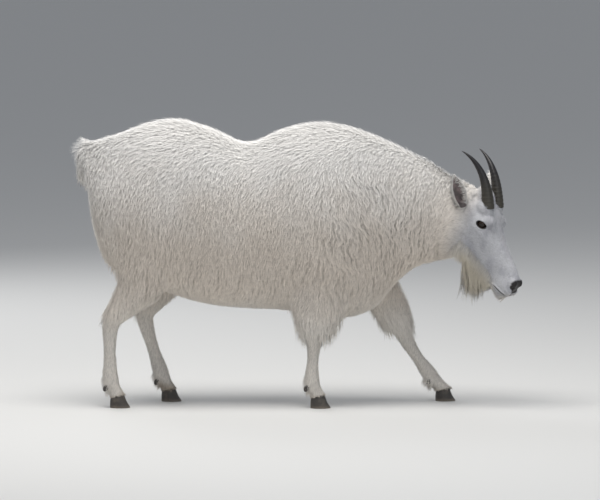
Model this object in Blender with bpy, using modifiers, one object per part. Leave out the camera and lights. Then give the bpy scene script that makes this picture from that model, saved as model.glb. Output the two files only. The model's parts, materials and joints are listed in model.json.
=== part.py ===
"""Mountain goat, life size, in its short summer coat, built as named solids.

The animal stands on a level floor. Its left foreleg reaches forward, its head is low and
turned to its right. X runs from rump to nose, Y to the animal's left, Z up, in metres.
The origin is on the floor under the middle of the animal. The body is modelled whole,
thinned out, and then parted with thin cuts into the pieces that a person would name.
"""

import math
import random

import bmesh
import bpy
from mathutils import Matrix, Vector
from mathutils.bvhtree import BVHTree

# Sizes that drive the rest
GAP = 0.0003
ROOM = 0.0004
BODY_GRAIN = 0.009
HEAD_GRAIN = 0.0044
BODY_TRIANGLES = 3800
HEAD_TRIANGLES = 2000
RING_POINTS = 28
SIDES = {"left": 1.0, "right": -1.0}
SEED = 41

# Trunk and neck: where the back line and the belly line are met by one section, then its
# half width, how far it is shifted to the left, and how much narrower it is at the top.
# back x, back z, belly x, belly z, half width, shift, narrowing
TRUNK = [
    (-0.692, 0.790, -0.676, 0.700, 0.045, 0.000, 0.10),
    (-0.684, 0.822, -0.658, 0.575, 0.098, 0.000, 0.12),
    (-0.650, 0.852, -0.624, 0.465, 0.132, 0.000, 0.12),
    (-0.573, 0.877, -0.560, 0.412, 0.158, 0.000, 0.12),
    (-0.477, 0.912, -0.470, 0.376, 0.178, 0.000, 0.15),
    (-0.381, 0.922, -0.368, 0.340, 0.186, 0.000, 0.15),
    (-0.278, 0.893, -0.269, 0.318, 0.194, 0.000, 0.12),
    (-0.163, 0.849, -0.163, 0.308, 0.197, 0.000, 0.10),
    (-0.054, 0.890, -0.042, 0.302, 0.191, 0.000, 0.13),
    (0.042, 0.912, 0.067, 0.286, 0.180, 0.000, 0.18),
    (0.131, 0.906, 0.163, 0.279, 0.169, 0.000, 0.21),
    (0.214, 0.883, 0.246, 0.312, 0.153, -0.001, 0.20),
    (0.291, 0.851, 0.310, 0.382, 0.135, -0.004, 0.17),
    (0.365, 0.816, 0.374, 0.437, 0.116, -0.012, 0.18),
    (0.432, 0.784, 0.438, 0.459, 0.100, -0.022, 0.12),
    (0.487, 0.744, 0.478, 0.468, 0.086, -0.040, 0.10),
    (0.532, 0.729, 0.506, 0.484, 0.070, -0.062, 0.10),
    (0.577, 0.698, 0.540, 0.524, 0.052, -0.085, 0.05),
]

# Head, in its own frame: forward along the muzzle, left, and up from the brow, measured
# from the point midway between the eyes.
EYE_MIDPOINT = Vector((0.618, -0.105, 0.5845))
HEAD_PITCH = math.radians(50)
HEAD_YAW = math.radians(32)
# forward, top, bottom, half width, narrowing (negative is narrower below)
SKULL = [
    (-0.130, 0.000, -0.110, 0.050, 0.00),
    (-0.098, 0.030, -0.128, 0.062, 0.00),
    (-0.055, 0.045, -0.146, 0.067, -0.10),
    (-0.010, 0.040, -0.154, 0.062, -0.20),
    (0.030, 0.018, -0.151, 0.054, -0.24),
    (0.070, 0.001, -0.145, 0.045, -0.24),
    (0.110, -0.009, -0.139, 0.039, -0.20),
    (0.150, -0.017, -0.137, 0.035, -0.12),
    (0.179, -0.027, -0.136, 0.033, -0.05),
    (0.199, -0.037, -0.131, 0.029, 0.00),
    (0.211, -0.056, -0.116, 0.018, 0.00),
]

# Masses of the head on both sides: brow, cheek, nose wing, lip, and the roots of horn and ear.
# Each has its place as forward, left and up in head axes, and its radii along them.
PAIRED_MASSES = [
    ((-0.010, 0.030, 0.010), (0.034, 0.025, 0.024)),
    ((-0.020, 0.034, -0.085), (0.060, 0.024, 0.055)),
    ((0.191, 0.016, -0.052), (0.020, 0.015, 0.018)),
    ((0.188, 0.017, -0.084), (0.032, 0.015, 0.020)),
    ((-0.050, 0.027, 0.026), (0.036, 0.030, 0.030)),
    ((-0.094, 0.047, -0.018), (0.021, 0.016, 0.023)),
]

# Chin and crown, on the head's middle.
MIDDLE_MASSES = [
    ((0.186, 0.0, -0.122), (0.028, 0.019, 0.017)),
    ((-0.086, 0.0, 0.040), (0.038, 0.036, 0.026)),
]

# Legs: x, y, z of the line down the middle, then half depth fore and aft and half width.
LEGS = {
    "front_right": [
        (0.147, -0.098, 0.556, 0.088, 0.045),
        (0.080, -0.112, 0.437, 0.102, 0.052),
        (0.064, -0.115, 0.360, 0.098, 0.050),
        (0.056, -0.115, 0.302, 0.084, 0.047),
        (0.050, -0.115, 0.262, 0.062, 0.042),
        (0.047, -0.115, 0.233, 0.036, 0.034),
        (0.047, -0.115, 0.200, 0.027, 0.027),
        (0.044, -0.115, 0.148, 0.022, 0.021),
        (0.041, -0.115, 0.092, 0.028, 0.027),
        (0.051, -0.115, 0.058, 0.025, 0.027),
        (0.066, -0.115, 0.022, 0.031, 0.032),
    ],
    "front_left": [
        (0.170, 0.098, 0.556, 0.085, 0.045),
        (0.219, 0.110, 0.440, 0.078, 0.052),
        (0.264, 0.112, 0.360, 0.069, 0.050),
        (0.290, 0.112, 0.312, 0.065, 0.047),
        (0.315, 0.112, 0.262, 0.054, 0.042),
        (0.332, 0.112, 0.226, 0.034, 0.034),
        (0.351, 0.112, 0.188, 0.027, 0.027),
        (0.381, 0.112, 0.141, 0.022, 0.021),
        (0.414, 0.112, 0.094, 0.028, 0.027),
        (0.445, 0.112, 0.056, 0.025, 0.027),
        (0.476, 0.112, 0.020, 0.031, 0.032),
    ],
    "hind_right": [
        (-0.530, -0.086, 0.640, 0.125, 0.065),
        (-0.490, -0.095, 0.505, 0.118, 0.066),
        (-0.500, -0.100, 0.408, 0.086, 0.052),
        (-0.551, -0.101, 0.340, 0.056, 0.039),
        (-0.594, -0.101, 0.288, 0.037, 0.029),
        (-0.603, -0.101, 0.243, 0.028, 0.025),
        (-0.604, -0.101, 0.169, 0.023, 0.022),
        (-0.602, -0.101, 0.097, 0.029, 0.027),
        (-0.590, -0.101, 0.060, 0.025, 0.027),
        (-0.574, -0.101, 0.022, 0.031, 0.032),
    ],
    "hind_left": [
        (-0.520, 0.086, 0.640, 0.125, 0.065),
        (-0.455, 0.095, 0.505, 0.118, 0.066),
        (-0.440, 0.100, 0.408, 0.086, 0.052),
        (-0.468, 0.101, 0.340, 0.056, 0.039),
        (-0.494, 0.101, 0.290, 0.037, 0.029),
        (-0.490, 0.101, 0.243, 0.028, 0.025),
        (-0.468, 0.101, 0.169, 0.023, 0.022),
        (-0.446, 0.101, 0.099, 0.029, 0.027),
        (-0.430, 0.101, 0.060, 0.025, 0.027),
        (-0.412, 0.101, 0.022, 0.031, 0.032),
    ],
}

# Swells of muscle and belly under the skin: x, y, z of the middle, three spreads, height.
SWELLS = [
    (0.120, 0.160, 0.620, 0.110, 0.120, 0.170, 0.020),
    (0.070, 0.160, 0.440, 0.080, 0.080, 0.090, 0.012),
    (-0.560, 0.150, 0.600, 0.120, 0.120, 0.170, 0.016),
    (-0.450, 0.160, 0.470, 0.075, 0.080, 0.090, 0.012),
    (-0.180, 0.180, 0.420, 0.180, 0.120, 0.080, 0.008),
]

# Where each leg is parted from the torso: a point on the cut and the cut's pitch, then the
# height of the cut under the knee or hock with its own pitch. Pitch is in degrees.
LEG_CUTS = {
    "front_right": ((0.072, 0.405), 0, (0.047, 0.188), 0),
    "front_left": ((0.235, 0.420), 28, (0.372, 0.168), 32),
    "hind_right": ((-0.480, 0.430), -33, (-0.603, 0.245), 0),
    "hind_left": ((-0.430, 0.410), -33, (-0.490, 0.245), 12),
}
LEG_REACH = 0.118
THIGH_REACH = 0.062
CHEST_STRIP = 0.035
CORONET_HEIGHT = 0.036
CORONET_PITCH = math.radians(-10)

# One toe of a hoof
TOE_LENGTH = 0.064
TOE_WIDTH = 0.029
CLEFT = 0.0016
DEWCLAW = (0.008, 0.007, 0.012)

# Horns: two slender cones that rise from the brow and sweep back and out
HORN_BASE = (-0.050, 0.029, 0.040)
HORN_LENGTH = 0.204
HORN_RADIUS = 0.0205
HORN_SWEEP = math.radians(63)
HORN_BEND = 1.6
HORN_SPREAD = 0.036

# Ears: leaf-shaped cups, open to the side and a little ahead
EAR_BASE = (-0.094, 0.060, -0.018)
EAR_LENGTH = 0.128
EAR_WIDTH = 0.023
EAR_WALL = 0.0042

# Eyes
EYE_CENTRE = (-0.009, 0.0385, 0.000)
EYE_RADIUS = 0.0180
LID_RADIUS = 0.0213
EYE_OPENING = (0.0168, 0.0118)

# Section of the trunk where the neck starts, and the cut between neck and torso
NECK_ROW = 13
HEAD_LOWEST = 0.40
NECK_CUT = ((0.285, 0.0, 0.620), (0.972, 0.0, 0.233))

# Long hair as flat locks: sections, how deep a root is sunk, half width, half thickness
LOCK_SECTIONS = 3
LOCK_SUNK = 0.008
LOCK_WIDTH = 0.0150
LOCK_THICKNESS = 0.0046
LOCK_LIFT = 0.10
LOCK_TAPER = 0.93
LOCK_TAPER_POWER = 2.2
LOCK_SCATTER = 0.10
LOCK_LENGTHS = (0.85, 1.12)
LOCK_CURLS = (0.5, 1.3)
ROOT_SEARCH = 0.14
LEG_LOCK_CURL = -0.02
# How far down a leg its long hair starts, in rows: height, number, length
CHAPS = [(0.286, 8, 0.060), (0.262, 8, 0.052)]
BREECHES = [(0.425, 5, 0.070), (0.385, 5, 0.066), (0.345, 5, 0.058)]
# Over this height the thighs touch, so no hair grows between them
THIGHS_MEET = 0.372
BREECH_STEP = math.radians(34)
INWARD = -0.3
LEG_SURFACE = 0.05
# How far under the cut that frees a leg its first hair grows
ROOT_MARGIN = 0.026
# Rows on the tail: x, z, length and how far the hair stands off
TAIL_ROWS = [(-0.650, 0.840, 0.050, 0.85), (-0.680, 0.826, 0.048, 0.35), (-0.697, 0.792, 0.050, 0.0)]
TAIL_ANGLES = [math.radians(degrees) for degrees in (-36, -12, 12, 36)]
TAIL_ROOT_RISE = 0.35
TAIL_CURL = 0.02
# The beard hangs from the jaw: first root, its length, how much shorter each unit of jaw
# further ahead makes it, then the step and the half width
BEARD_FIRST = 0.0185
BEARD_LENGTH = 0.150
BEARD_TAPER = 0.93
BEARD_STEP = 0.0165
BEARD_ROWS = 7
BEARD_WIDTH = 0.0135
BEARD_COLUMNS = ((-1.2, 0, 1.2), (-0.6, 0.6))
BEARD_COLUMN_STEP = 0.011
BEARD_COLUMN_LEAD = 0.004
BEARD_BELOW = -0.30
BEARD_SPLAY = 0.06
BEARD_CURL = 0.03
BEARD_SHORTER = 0.18


def new_object(name, mesh):
    """Put a mesh in the scene under a name."""
    piece = bpy.data.objects.new(name, mesh)
    bpy.context.scene.collection.objects.link(piece)
    return piece


def from_bmesh(name, shape):
    """Turn a bmesh into an object of triangles that point out."""
    bmesh.ops.triangulate(shape, faces=shape.faces)
    shape.normal_update()
    bmesh.ops.recalc_face_normals(shape, faces=shape.faces)
    mesh = bpy.data.meshes.new(name)
    shape.to_mesh(mesh)
    shape.free()
    return new_object(name, mesh)


def remove(*pieces):
    """Drop helpers that have done their work."""
    for piece in pieces:
        bpy.data.objects.remove(piece)


def baked(piece):
    """Apply the modifiers of a piece to its own mesh."""
    graph = bpy.context.evaluated_depsgraph_get()
    graph.update()
    mesh = bpy.data.meshes.new_from_object(piece.evaluated_get(graph))
    piece.modifiers.clear()
    piece.data = mesh
    return piece


def duplicate(piece, name):
    """A copy with its own mesh."""
    copy = piece.copy()
    copy.data = piece.data.copy()
    copy.name = name
    bpy.context.scene.collection.objects.link(copy)
    return copy


def curve_rows(rows, steps):
    """Rows of numbers joined by a smooth curve with some steps to each span."""
    last = len(rows) - 1
    smooth = []
    for i in range(last):
        before, here = rows[max(i - 1, 0)], rows[i]
        after, beyond = rows[i + 1], rows[min(i + 2, last)]
        for k in range(steps):
            t = k / steps
            smooth.append(
                tuple(
                    0.5 * (2 * b + (c - a) * t + (2 * a - 5 * b + 4 * c - d) * t * t
                           + (3 * b - a - 3 * c + d) * t * t * t)
                    for a, b, c, d in zip(before, here, after, beyond)
                )
            )
    smooth.append(tuple(rows[last]))
    return smooth


def ring(centre, across, upward, half_across, half_up, narrowing=0.0, count=RING_POINTS):
    """One closed section of a body: an oval that can be narrower at its top."""
    points = []
    for i in range(count):
        angle = 2 * math.pi * i / count
        reach = half_across * math.sin(angle) * (1 - narrowing * math.cos(angle))
        points.append(centre + across * reach + upward * (half_up * math.cos(angle)))
    return points


def loft(name, rings):
    """A closed skin through sections that all have the same number of points."""
    shape = bmesh.new()
    rows = [[shape.verts.new(point) for point in points] for points in rings]
    count = len(rows[0])
    for first, second in zip(rows, rows[1:]):
        for i in range(count):
            j = (i + 1) % count
            shape.faces.new((first[i], first[j], second[j], second[i]))
    shape.faces.new(rows[0])
    shape.faces.new(rows[-1])
    return from_bmesh(name, shape)


def ball(name, centre, radii, matrix=Matrix.Identity(3), segments=24, rings=14):
    """An ellipsoid, turned by a matrix and moved to its centre."""
    shape = bmesh.new()
    bmesh.ops.create_uvsphere(shape, u_segments=segments, v_segments=rings, radius=1)
    for vertex in shape.verts:
        scaled = Vector(c * r for c, r in zip(vertex.co, radii))
        vertex.co = Vector(centre) + matrix @ scaled
    return from_bmesh(name, shape)


def block(name, planes, size=4.0):
    """The space behind a set of planes, each a point and an outward direction."""
    shape = bmesh.new()
    bmesh.ops.create_cube(shape, size=size)
    for point, outward in planes:
        geometry = shape.verts[:] + shape.edges[:] + shape.faces[:]
        bmesh.ops.bisect_plane(
            shape, geom=geometry, plane_co=point, plane_no=outward, clear_outer=True
        )
        rim = [edge for edge in shape.edges if edge.is_boundary]
        bmesh.ops.holes_fill(shape, edges=rim)
    return from_bmesh(name, shape)


def joined(name, pieces):
    """Several meshes in one object, still overlapping."""
    shape = bmesh.new()
    for piece in pieces:
        shape.from_mesh(piece.data)
    remove(*pieces)
    mesh = bpy.data.meshes.new(name)
    shape.to_mesh(mesh)
    shape.free()
    return new_object(name, mesh)


def fused(piece, grain, rounds):
    """Overlapping shapes grown together into one even skin, with soft folds."""
    remesh = piece.modifiers.new("Fuse", "REMESH")
    remesh.mode = "VOXEL"
    remesh.voxel_size = grain
    smooth = piece.modifiers.new("Soften", "SMOOTH")
    smooth.factor = 0.5
    smooth.iterations = rounds
    return baked(piece)


def thinned(piece, triangles):
    """Fewer, larger faces where the form is plain."""
    piece.data.calc_loop_triangles()
    thin = piece.modifiers.new("Thin", "DECIMATE")
    thin.ratio = min(1.0, triangles / len(piece.data.loop_triangles))
    thin.use_collapse_triangulate = True
    return baked(piece)


def largest_body(piece):
    """Keep the largest closed surface of a piece, and drop loose scraps."""
    shape = bmesh.new()
    shape.from_mesh(piece.data)
    unseen = set(shape.verts)
    bodies = []
    while unseen:
        stack = [unseen.pop()]
        body = set(stack)
        while stack:
            vertex = stack.pop()
            for edge in vertex.link_edges:
                other = edge.other_vert(vertex)
                if other in unseen:
                    unseen.discard(other)
                    body.add(other)
                    stack.append(other)
        bodies.append(body)
    bodies.sort(key=len, reverse=True)
    for body in bodies[1:]:
        bmesh.ops.delete(shape, geom=list(body), context="VERTS")
    shape.to_mesh(piece.data)
    shape.free()
    return piece


def boolean(piece, operation, other, solver="EXACT"):
    """Cut, join or intersect with one other closed mesh."""
    modifier = piece.modifiers.new("Boolean", "BOOLEAN")
    modifier.operation = operation
    modifier.solver = solver
    modifier.object = other
    return baked(piece)


def cut(piece, *cutters, solver="EXACT"):
    """Take cutters away from a piece, then drop them."""
    for cutter in cutters:
        boolean(piece, "DIFFERENCE", cutter, solver)
    remove(*cutters)
    return piece


def united(piece, additions, solver="EXACT"):
    """Join a group of closed meshes to a piece as one body."""
    group = bpy.data.collections.new("Additions")
    for addition in additions:
        group.objects.link(addition)
    modifier = piece.modifiers.new("Join", "BOOLEAN")
    modifier.operation = "UNION"
    modifier.solver = solver
    modifier.operand_type = "COLLECTION"
    modifier.collection = group
    baked(piece)
    remove(*additions)
    bpy.data.collections.remove(group)
    return largest_body(piece)


def grown(piece, name, by):
    """A copy whose surface is moved outward by a small distance."""
    copy = duplicate(piece, name)
    shape = bmesh.new()
    shape.from_mesh(copy.data)
    shape.normal_update()
    moves = [(vertex, vertex.normal.copy()) for vertex in shape.verts]
    for vertex, normal in moves:
        vertex.co += normal * by
    shape.to_mesh(copy.data)
    shape.free()
    return copy


def seat(host, *pieces, solver="EXACT"):
    """Make room in a host for pieces that stand in it, with the touching gap."""
    for piece in pieces:
        cut(host, grown(piece, "room", ROOM), solver=solver)
    return largest_body(host)


def part_off(rest, name, planes):
    """Take the share of a body behind some planes, and leave a thin gap beside it."""
    piece = duplicate(rest, name)
    region = block("region", planes)
    boolean(piece, "INTERSECT", region)
    wider = [(point + outward * GAP, outward) for point, outward in planes]
    cut(rest, block("room", wider))
    remove(region)
    largest_body(rest)
    return largest_body(piece)


def head_matrix():
    """The head's frame: muzzle, left and brow directions as columns, in the world."""
    ahead = Vector((math.cos(HEAD_YAW), -math.sin(HEAD_YAW), 0))
    left = Vector((math.sin(HEAD_YAW), math.cos(HEAD_YAW), 0))
    up = Vector((0, 0, 1))
    muzzle = ahead * math.cos(HEAD_PITCH) - up * math.sin(HEAD_PITCH)
    brow = ahead * math.sin(HEAD_PITCH) + up * math.cos(HEAD_PITCH)
    turn = Matrix((muzzle, left, brow)).transposed().to_4x4()
    return Matrix.Translation(EYE_MIDPOINT) @ turn


HEAD = head_matrix()
HEAD_TURN = HEAD.to_3x3()


def on_head(forward, left, up):
    """A point given in the head's own frame."""
    return HEAD @ Vector((forward, left, up))


def trunk(first=0):
    """Rump, barrel, chest and neck as one skin, from one of its sections on."""
    rows = curve_rows(TRUNK[first:], 3)
    rings = []
    for i, (bx, bz, ux, uz, half, shift, narrowing) in enumerate(rows):
        before, after = rows[max(i - 1, 0)], rows[min(i + 1, len(rows) - 1)]
        course = Vector((after[0] + after[2] - before[0] - before[2], 2 * (after[5] - before[5]), 0))
        across = Vector((0, 0, 1)).cross(course).normalized()
        top, bottom = Vector((bx, shift, bz)), Vector((ux, shift, uz))
        upward = (top - bottom) / 2
        middle = (top + bottom) / 2
        rings.append(
            ring(middle, across, upward.normalized(), half, upward.length, narrowing)
        )
    return loft("trunk", rings)


def limb(name):
    """One leg as a skin round its middle line."""
    rows = curve_rows(LEGS[name], 3)
    across = Vector((0, 1, 0))
    rings = []
    for i, (x, y, z, depth, width) in enumerate(rows):
        before, after = rows[max(i - 1, 0)], rows[min(i + 1, len(rows) - 1)]
        along = (Vector(after[:3]) - Vector(before[:3])).normalized()
        forward = across.cross(along).normalized()
        rings.append(ring(Vector((x, y, z)), across, forward, width, depth, count=20))
    return loft(name, rings)


def skull():
    """The head's own skin, from behind the ears to the lips."""
    left, up = HEAD_TURN @ Vector((0, 1, 0)), HEAD_TURN @ Vector((0, 0, 1))
    rings = []
    for forward, top, bottom, half, narrowing in curve_rows(SKULL, 3):
        centre = on_head(forward, 0, (top + bottom) / 2)
        rings.append(ring(centre, left, up, half, (top - bottom) / 2, narrowing))
    return loft("skull", rings)


def head_masses():
    """Brows, cheeks, nose wings, lips, chin and crown that swell out of the skull."""
    masses = []
    for (forward, left, up), radii in PAIRED_MASSES:
        for side in SIDES.values():
            masses.append(ball("mass", on_head(forward, side * left, up), radii, HEAD_TURN))
    for place, radii in MIDDLE_MASSES:
        masses.append(ball("mass", on_head(*place), radii, HEAD_TURN))
    return masses


def swell(piece):
    """Raise the muscles and the belly out of the skin, the same on both sides."""
    shape = bmesh.new()
    shape.from_mesh(piece.data)
    shape.normal_update()
    for vertex in shape.verts:
        height = 0.0
        for x, y, z, long, wide, tall, rise in SWELLS:
            spread = ((vertex.co.x - x) / long) ** 2
            spread += ((abs(vertex.co.y) - y) / wide) ** 2
            spread += ((vertex.co.z - z) / tall) ** 2
            height += rise * math.exp(-spread)
        vertex.co += vertex.normal * height
    shape.to_mesh(piece.data)
    shape.free()
    return piece


def body_skin():
    """Trunk, neck, legs and a plain head as one skin."""
    shapes = [trunk(), skull()] + [limb(name) for name in LEGS]
    skin = fused(joined("torso", shapes), BODY_GRAIN, 8)
    return swell(largest_body(skin))


def head_skin():
    """The head as one finer skin, on the end of the neck."""
    shapes = [trunk(first=NECK_ROW), skull(), *head_masses()]
    return largest_body(fused(joined("head", shapes), HEAD_GRAIN, 9))


def head_cut():
    """The plane from behind the ears to the throat, and the way back from it."""
    return on_head(-0.140, 0, 0.030), HEAD_TURN @ Vector((-0.876, 0, -0.482))


def eye_matrix(side):
    """An eye's frame: across the opening, up, and out of the head."""
    out = HEAD_TURN @ Vector((0.34, side * 0.92, 0.10)).normalized()
    across = (HEAD_TURN @ Vector((0.90, 0, 0.30))).cross(out).cross(out).normalized()
    return Matrix((across, out.cross(across), out)).transposed()


def eyeball(name, side, radius):
    """One eye, or the round of its lids."""
    forward, left, up = EYE_CENTRE
    centre = on_head(forward, side * left, up)
    return ball(name, centre, (radius,) * 3, eye_matrix(side), segments=16, rings=10)


def lid_opening(side):
    """The almond between the lids, as a cutter that points out of the head."""
    forward, left, up = EYE_CENTRE
    centre, matrix = on_head(forward, side * left, up), eye_matrix(side)
    half_long, half_tall = EYE_OPENING
    rings = []
    for depth in (0.006, 0.040):
        points = []
        for i in range(16):
            angle = 2 * math.pi * i / 16
            across = half_long * math.cos(angle)
            tall = half_tall * math.sin(angle) * (1 - 0.35 * abs(math.cos(angle)))
            points.append(centre + matrix @ Vector((across, tall, depth)))
        rings.append(points)
    return loft("opening", rings)


def nostril(side):
    """A slanted slot in the side of the nose."""
    centre = on_head(0.202, side * 0.0175, -0.057)
    slant = Matrix.Rotation(math.radians(28 * side), 3, "X")
    pitch = Matrix.Rotation(math.radians(42), 3, "Y")
    return ball("nostril", centre, (0.0115, 0.0050, 0.0080), HEAD_TURN @ pitch @ slant, 12, 8)


def mouth():
    """The line between the lips, from the corners round the muzzle."""
    line = [(0.160, -0.1085), (0.180, -0.1055), (0.203, -0.0985), (0.240, -0.0960)]
    rings = []
    for forward, up in line:
        half = 0.0004 + 0.0006 * (forward > 0.17)
        corners = [(0.05, half), (-0.05, half), (-0.05, -half), (0.05, -half)]
        rings.append([on_head(forward, left, up + lift) for left, lift in corners])
    return loft("mouth", rings)


def horn(name, side):
    """A slender black horn with ridges round its lower half."""
    centre = on_head(HORN_BASE[0], side * HORN_BASE[1], HORN_BASE[2])
    behind = Vector((-math.cos(HEAD_YAW), math.sin(HEAD_YAW), 0))
    left = Vector((math.sin(HEAD_YAW), math.cos(HEAD_YAW), 0))
    up = Vector((0, 0, 1))
    steps = 21
    sunk = 0.012
    point = centre - up * sunk
    rings = []
    for i in range(steps + 1):
        t = i / steps
        angle = HORN_SWEEP * t ** HORN_BEND
        lean = math.sin(angle) * behind + math.cos(angle) * up
        along = (lean + left * (side * HORN_SPREAD / HORN_LENGTH * 1.4 * t)).normalized()
        radius = HORN_RADIUS * (1 - t) ** 0.85 + 0.0008
        if 0.08 < t < 0.60:
            radius *= 1 + 0.05 * math.cos(math.pi * i)
        across = along.cross(behind).normalized()
        rings.append(ring(point, across, across.cross(along), radius, radius * 1.05, count=10))
        point = point + along * ((HORN_LENGTH + sunk) / steps)
    return loft(name, rings)


def ear(name, side):
    """A leaf-shaped cup on a round root."""
    ahead = Vector((math.cos(HEAD_YAW), -math.sin(HEAD_YAW), 0))
    outward = Vector((math.sin(HEAD_YAW), math.cos(HEAD_YAW), 0)) * side
    up = Vector((0, 0, 1))
    along = (ahead * 0.04 + outward * 0.52 + up * 0.86).normalized()
    facing = (outward * 0.80 + ahead * 0.60)
    facing = (facing - along * facing.dot(along)).normalized()
    across = along.cross(facing)
    root = on_head(EAR_BASE[0], side * EAR_BASE[1], EAR_BASE[2])
    half = 6
    rings = []
    for t, width, depth in [
        (-0.13, 0.42, 0.42), (0.00, 0.50, 0.50), (0.10, 0.68, 0.60), (0.24, 0.90, 0.62),
        (0.42, 1.00, 0.52), (0.60, 0.92, 0.42), (0.78, 0.66, 0.30), (0.92, 0.32, 0.16),
        (1.00, 0.08, 0.05),
    ]:
        centre = root + along * (EAR_LENGTH * t)
        open_share = min(1.0, max(0.0, (t - 0.04) / 0.12))
        back, front = [], []
        for i in range(half + 1):
            angle = math.pi * i / half
            reach = across * (EAR_WIDTH * width * math.cos(angle))
            bulge = facing * (-EAR_WIDTH * depth * math.sin(angle))
            wall = facing * (EAR_WALL * (0.35 + 0.65 * math.sin(angle)))
            back.append(centre + reach + bulge)
            closed = reach * 0.99 - bulge * 0.9 + facing * 0.0004
            cupped = reach * 0.90 + bulge + wall
            front.append(centre + closed.lerp(cupped, open_share))
        rings.append(back + front[::-1])
    return loft(name, rings)


def toe(name, foot, side):
    """One half of a cloven hoof, flat on the floor."""
    rings = []
    for height, heel, tip, width in [
        (0.0, -0.40, 0.60, 1.0), (0.016, -0.40, 0.46, 1.0), (CORONET_HEIGHT - GAP, -0.37, 0.31, 0.9),
    ]:
        points = [(heel * TOE_LENGTH, CLEFT / 2), (tip * TOE_LENGTH, CLEFT / 2)]
        for i in range(1, 9):
            angle = math.pi * i / 9
            middle, reach = (heel + tip) / 2, (tip - heel) / 2
            x = TOE_LENGTH * (middle + reach * math.cos(angle))
            points.append((x, CLEFT / 2 + TOE_WIDTH * width * math.sin(angle) ** 0.8))
        top = height > 0.03
        rings.append([
            foot + Vector((x, side * y, height - (math.tan(CORONET_PITCH) * x if top else 0)))
            for x, y in points
        ])
    return loft(name, rings)


def dewclaw(name, heel, side):
    """A small blunt claw behind the pastern."""
    turn = Matrix.Rotation(math.radians(28), 3, "Y")
    return ball(name, heel + Vector((0, side * 0.0155, 0)), DEWCLAW, turn, 8, 5)


def tail(name):
    """The short tail on the corner of the rump."""
    rows = [
        (-0.625, 0.838, 0.020, 0.016), (-0.660, 0.836, 0.026, 0.017), (-0.684, 0.820, 0.028, 0.017),
        (-0.697, 0.792, 0.026, 0.015), (-0.701, 0.760, 0.020, 0.012), (-0.699, 0.730, 0.008, 0.005),
    ]
    rings = []
    for i, (x, z, half_across, half_up) in enumerate(rows):
        before, after = rows[max(i - 1, 0)], rows[min(i + 1, len(rows) - 1)]
        along = Vector((after[0] - before[0], 0, after[1] - before[1])).normalized()
        across = Vector((0, 1, 0))
        rings.append(
            ring(Vector((x, 0, z)), across, along.cross(across), half_across, half_up, count=12)
        )
    return loft(name, rings)


def finish(name, colour, roughness, pieces):
    """Give pieces one material."""
    material = bpy.data.materials.new(name)
    material.use_nodes = True
    shader = material.node_tree.nodes["Principled BSDF"]
    shader.inputs["Base Color"].default_value = (*colour, 1)
    shader.inputs["Roughness"].default_value = roughness
    for piece in pieces:
        piece.data.materials.clear()
        piece.data.materials.append(material)
        piece.data.shade_smooth()
        piece.data.set_sharp_from_angle(angle=math.radians(50))


def leg_planes(name):
    """The cuts that free one leg from the torso, on its own side of the middle."""
    side = SIDES[name.split("_")[1]]
    front = name.startswith("front")
    (x, z), pitch, _, _ = LEG_CUTS[name]
    slope = math.radians(pitch)
    inner = CHEST_STRIP if front else GAP / 2
    top = (Vector((x, 0, z)), Vector((-math.sin(slope), 0, math.cos(slope))))
    middle = (Vector((0, side * inner, 0)), Vector((0, -side, 0)))
    if not front:
        return [top, middle, (Vector((x + THIGH_REACH, 0, 0)), Vector((1, 0, 0)))]
    ahead = Vector((math.cos(slope), 0, math.sin(slope)))
    fore = (top[0] + ahead * LEG_REACH, ahead)
    aft = (top[0] - ahead * LEG_REACH, -ahead)
    return [top, middle, fore, aft]


def coronet(foot):
    """The slanted plane on which a hoof meets its leg."""
    tilt = Vector((math.sin(CORONET_PITCH), 0, math.cos(CORONET_PITCH)))
    return foot + Vector((0, 0, CORONET_HEIGHT)), tilt


def leg(body, name, rng):
    """Part one leg from the body, divide it, and set its hooves and dewclaws."""
    upper = part_off(body, f"leg_{name}_upper", leg_planes(name))
    leg_locks(upper, name, rng)
    _, _, (x, z), pitch = LEG_CUTS[name]
    slope = math.radians(pitch)
    below = (Vector((x, 0, z)), Vector((-math.sin(slope), 0, math.cos(slope))))
    lower = part_off(upper, f"leg_{name}_lower", [below])
    (px, y, pz, _, _), (ex, _, ez, _, _) = LEGS[name][-2:]
    share = (pz - CORONET_HEIGHT) / (pz - ez)
    foot = Vector((px + (ex - px) * share + 0.002, y, 0))
    point, tilt = coronet(foot)
    cut(lower, block("sole_cut", [(point, tilt)]))
    heel = Vector((px - 0.027, y, 0.064))
    pieces = []
    for place, side in (("left", 1), ("right", -1)):
        word = "outer" if place == name.split("_")[1] else "inner"
        pieces.append(toe(f"hoof_{name}_{word}", foot, side))
        claw = dewclaw(f"dewclaw_{name}_{word}", heel, side)
        seat(lower, claw)
        pieces.append(claw)
    return [upper, lower], pieces


def lock(root, lie, out, length, curl, width=LOCK_WIDTH):
    """A flat tapered lock that leaves its root along the coat and bends outward."""
    side = lie.cross(out).normalized()
    rings = []
    for k in range(LOCK_SECTIONS + 1):
        t = k / LOCK_SECTIONS
        centre = root + lie * (length * t) + out * (curl * length * t * t)
        share = 1 - LOCK_TAPER * t ** LOCK_TAPER_POWER
        wide, thick = side * (width * share), out * (LOCK_THICKNESS * share)
        rings.append([centre + wide, centre + thick, centre - wide, centre - thick])
    return loft("lock", rings)


def tree_of(piece):
    """A piece's surface, for finding where its locks are rooted."""
    vertices = [vertex.co.copy() for vertex in piece.data.vertices]
    faces = [tuple(face.vertices) for face in piece.data.polygons]
    return BVHTree.FromPolygons(vertices, faces)


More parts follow.
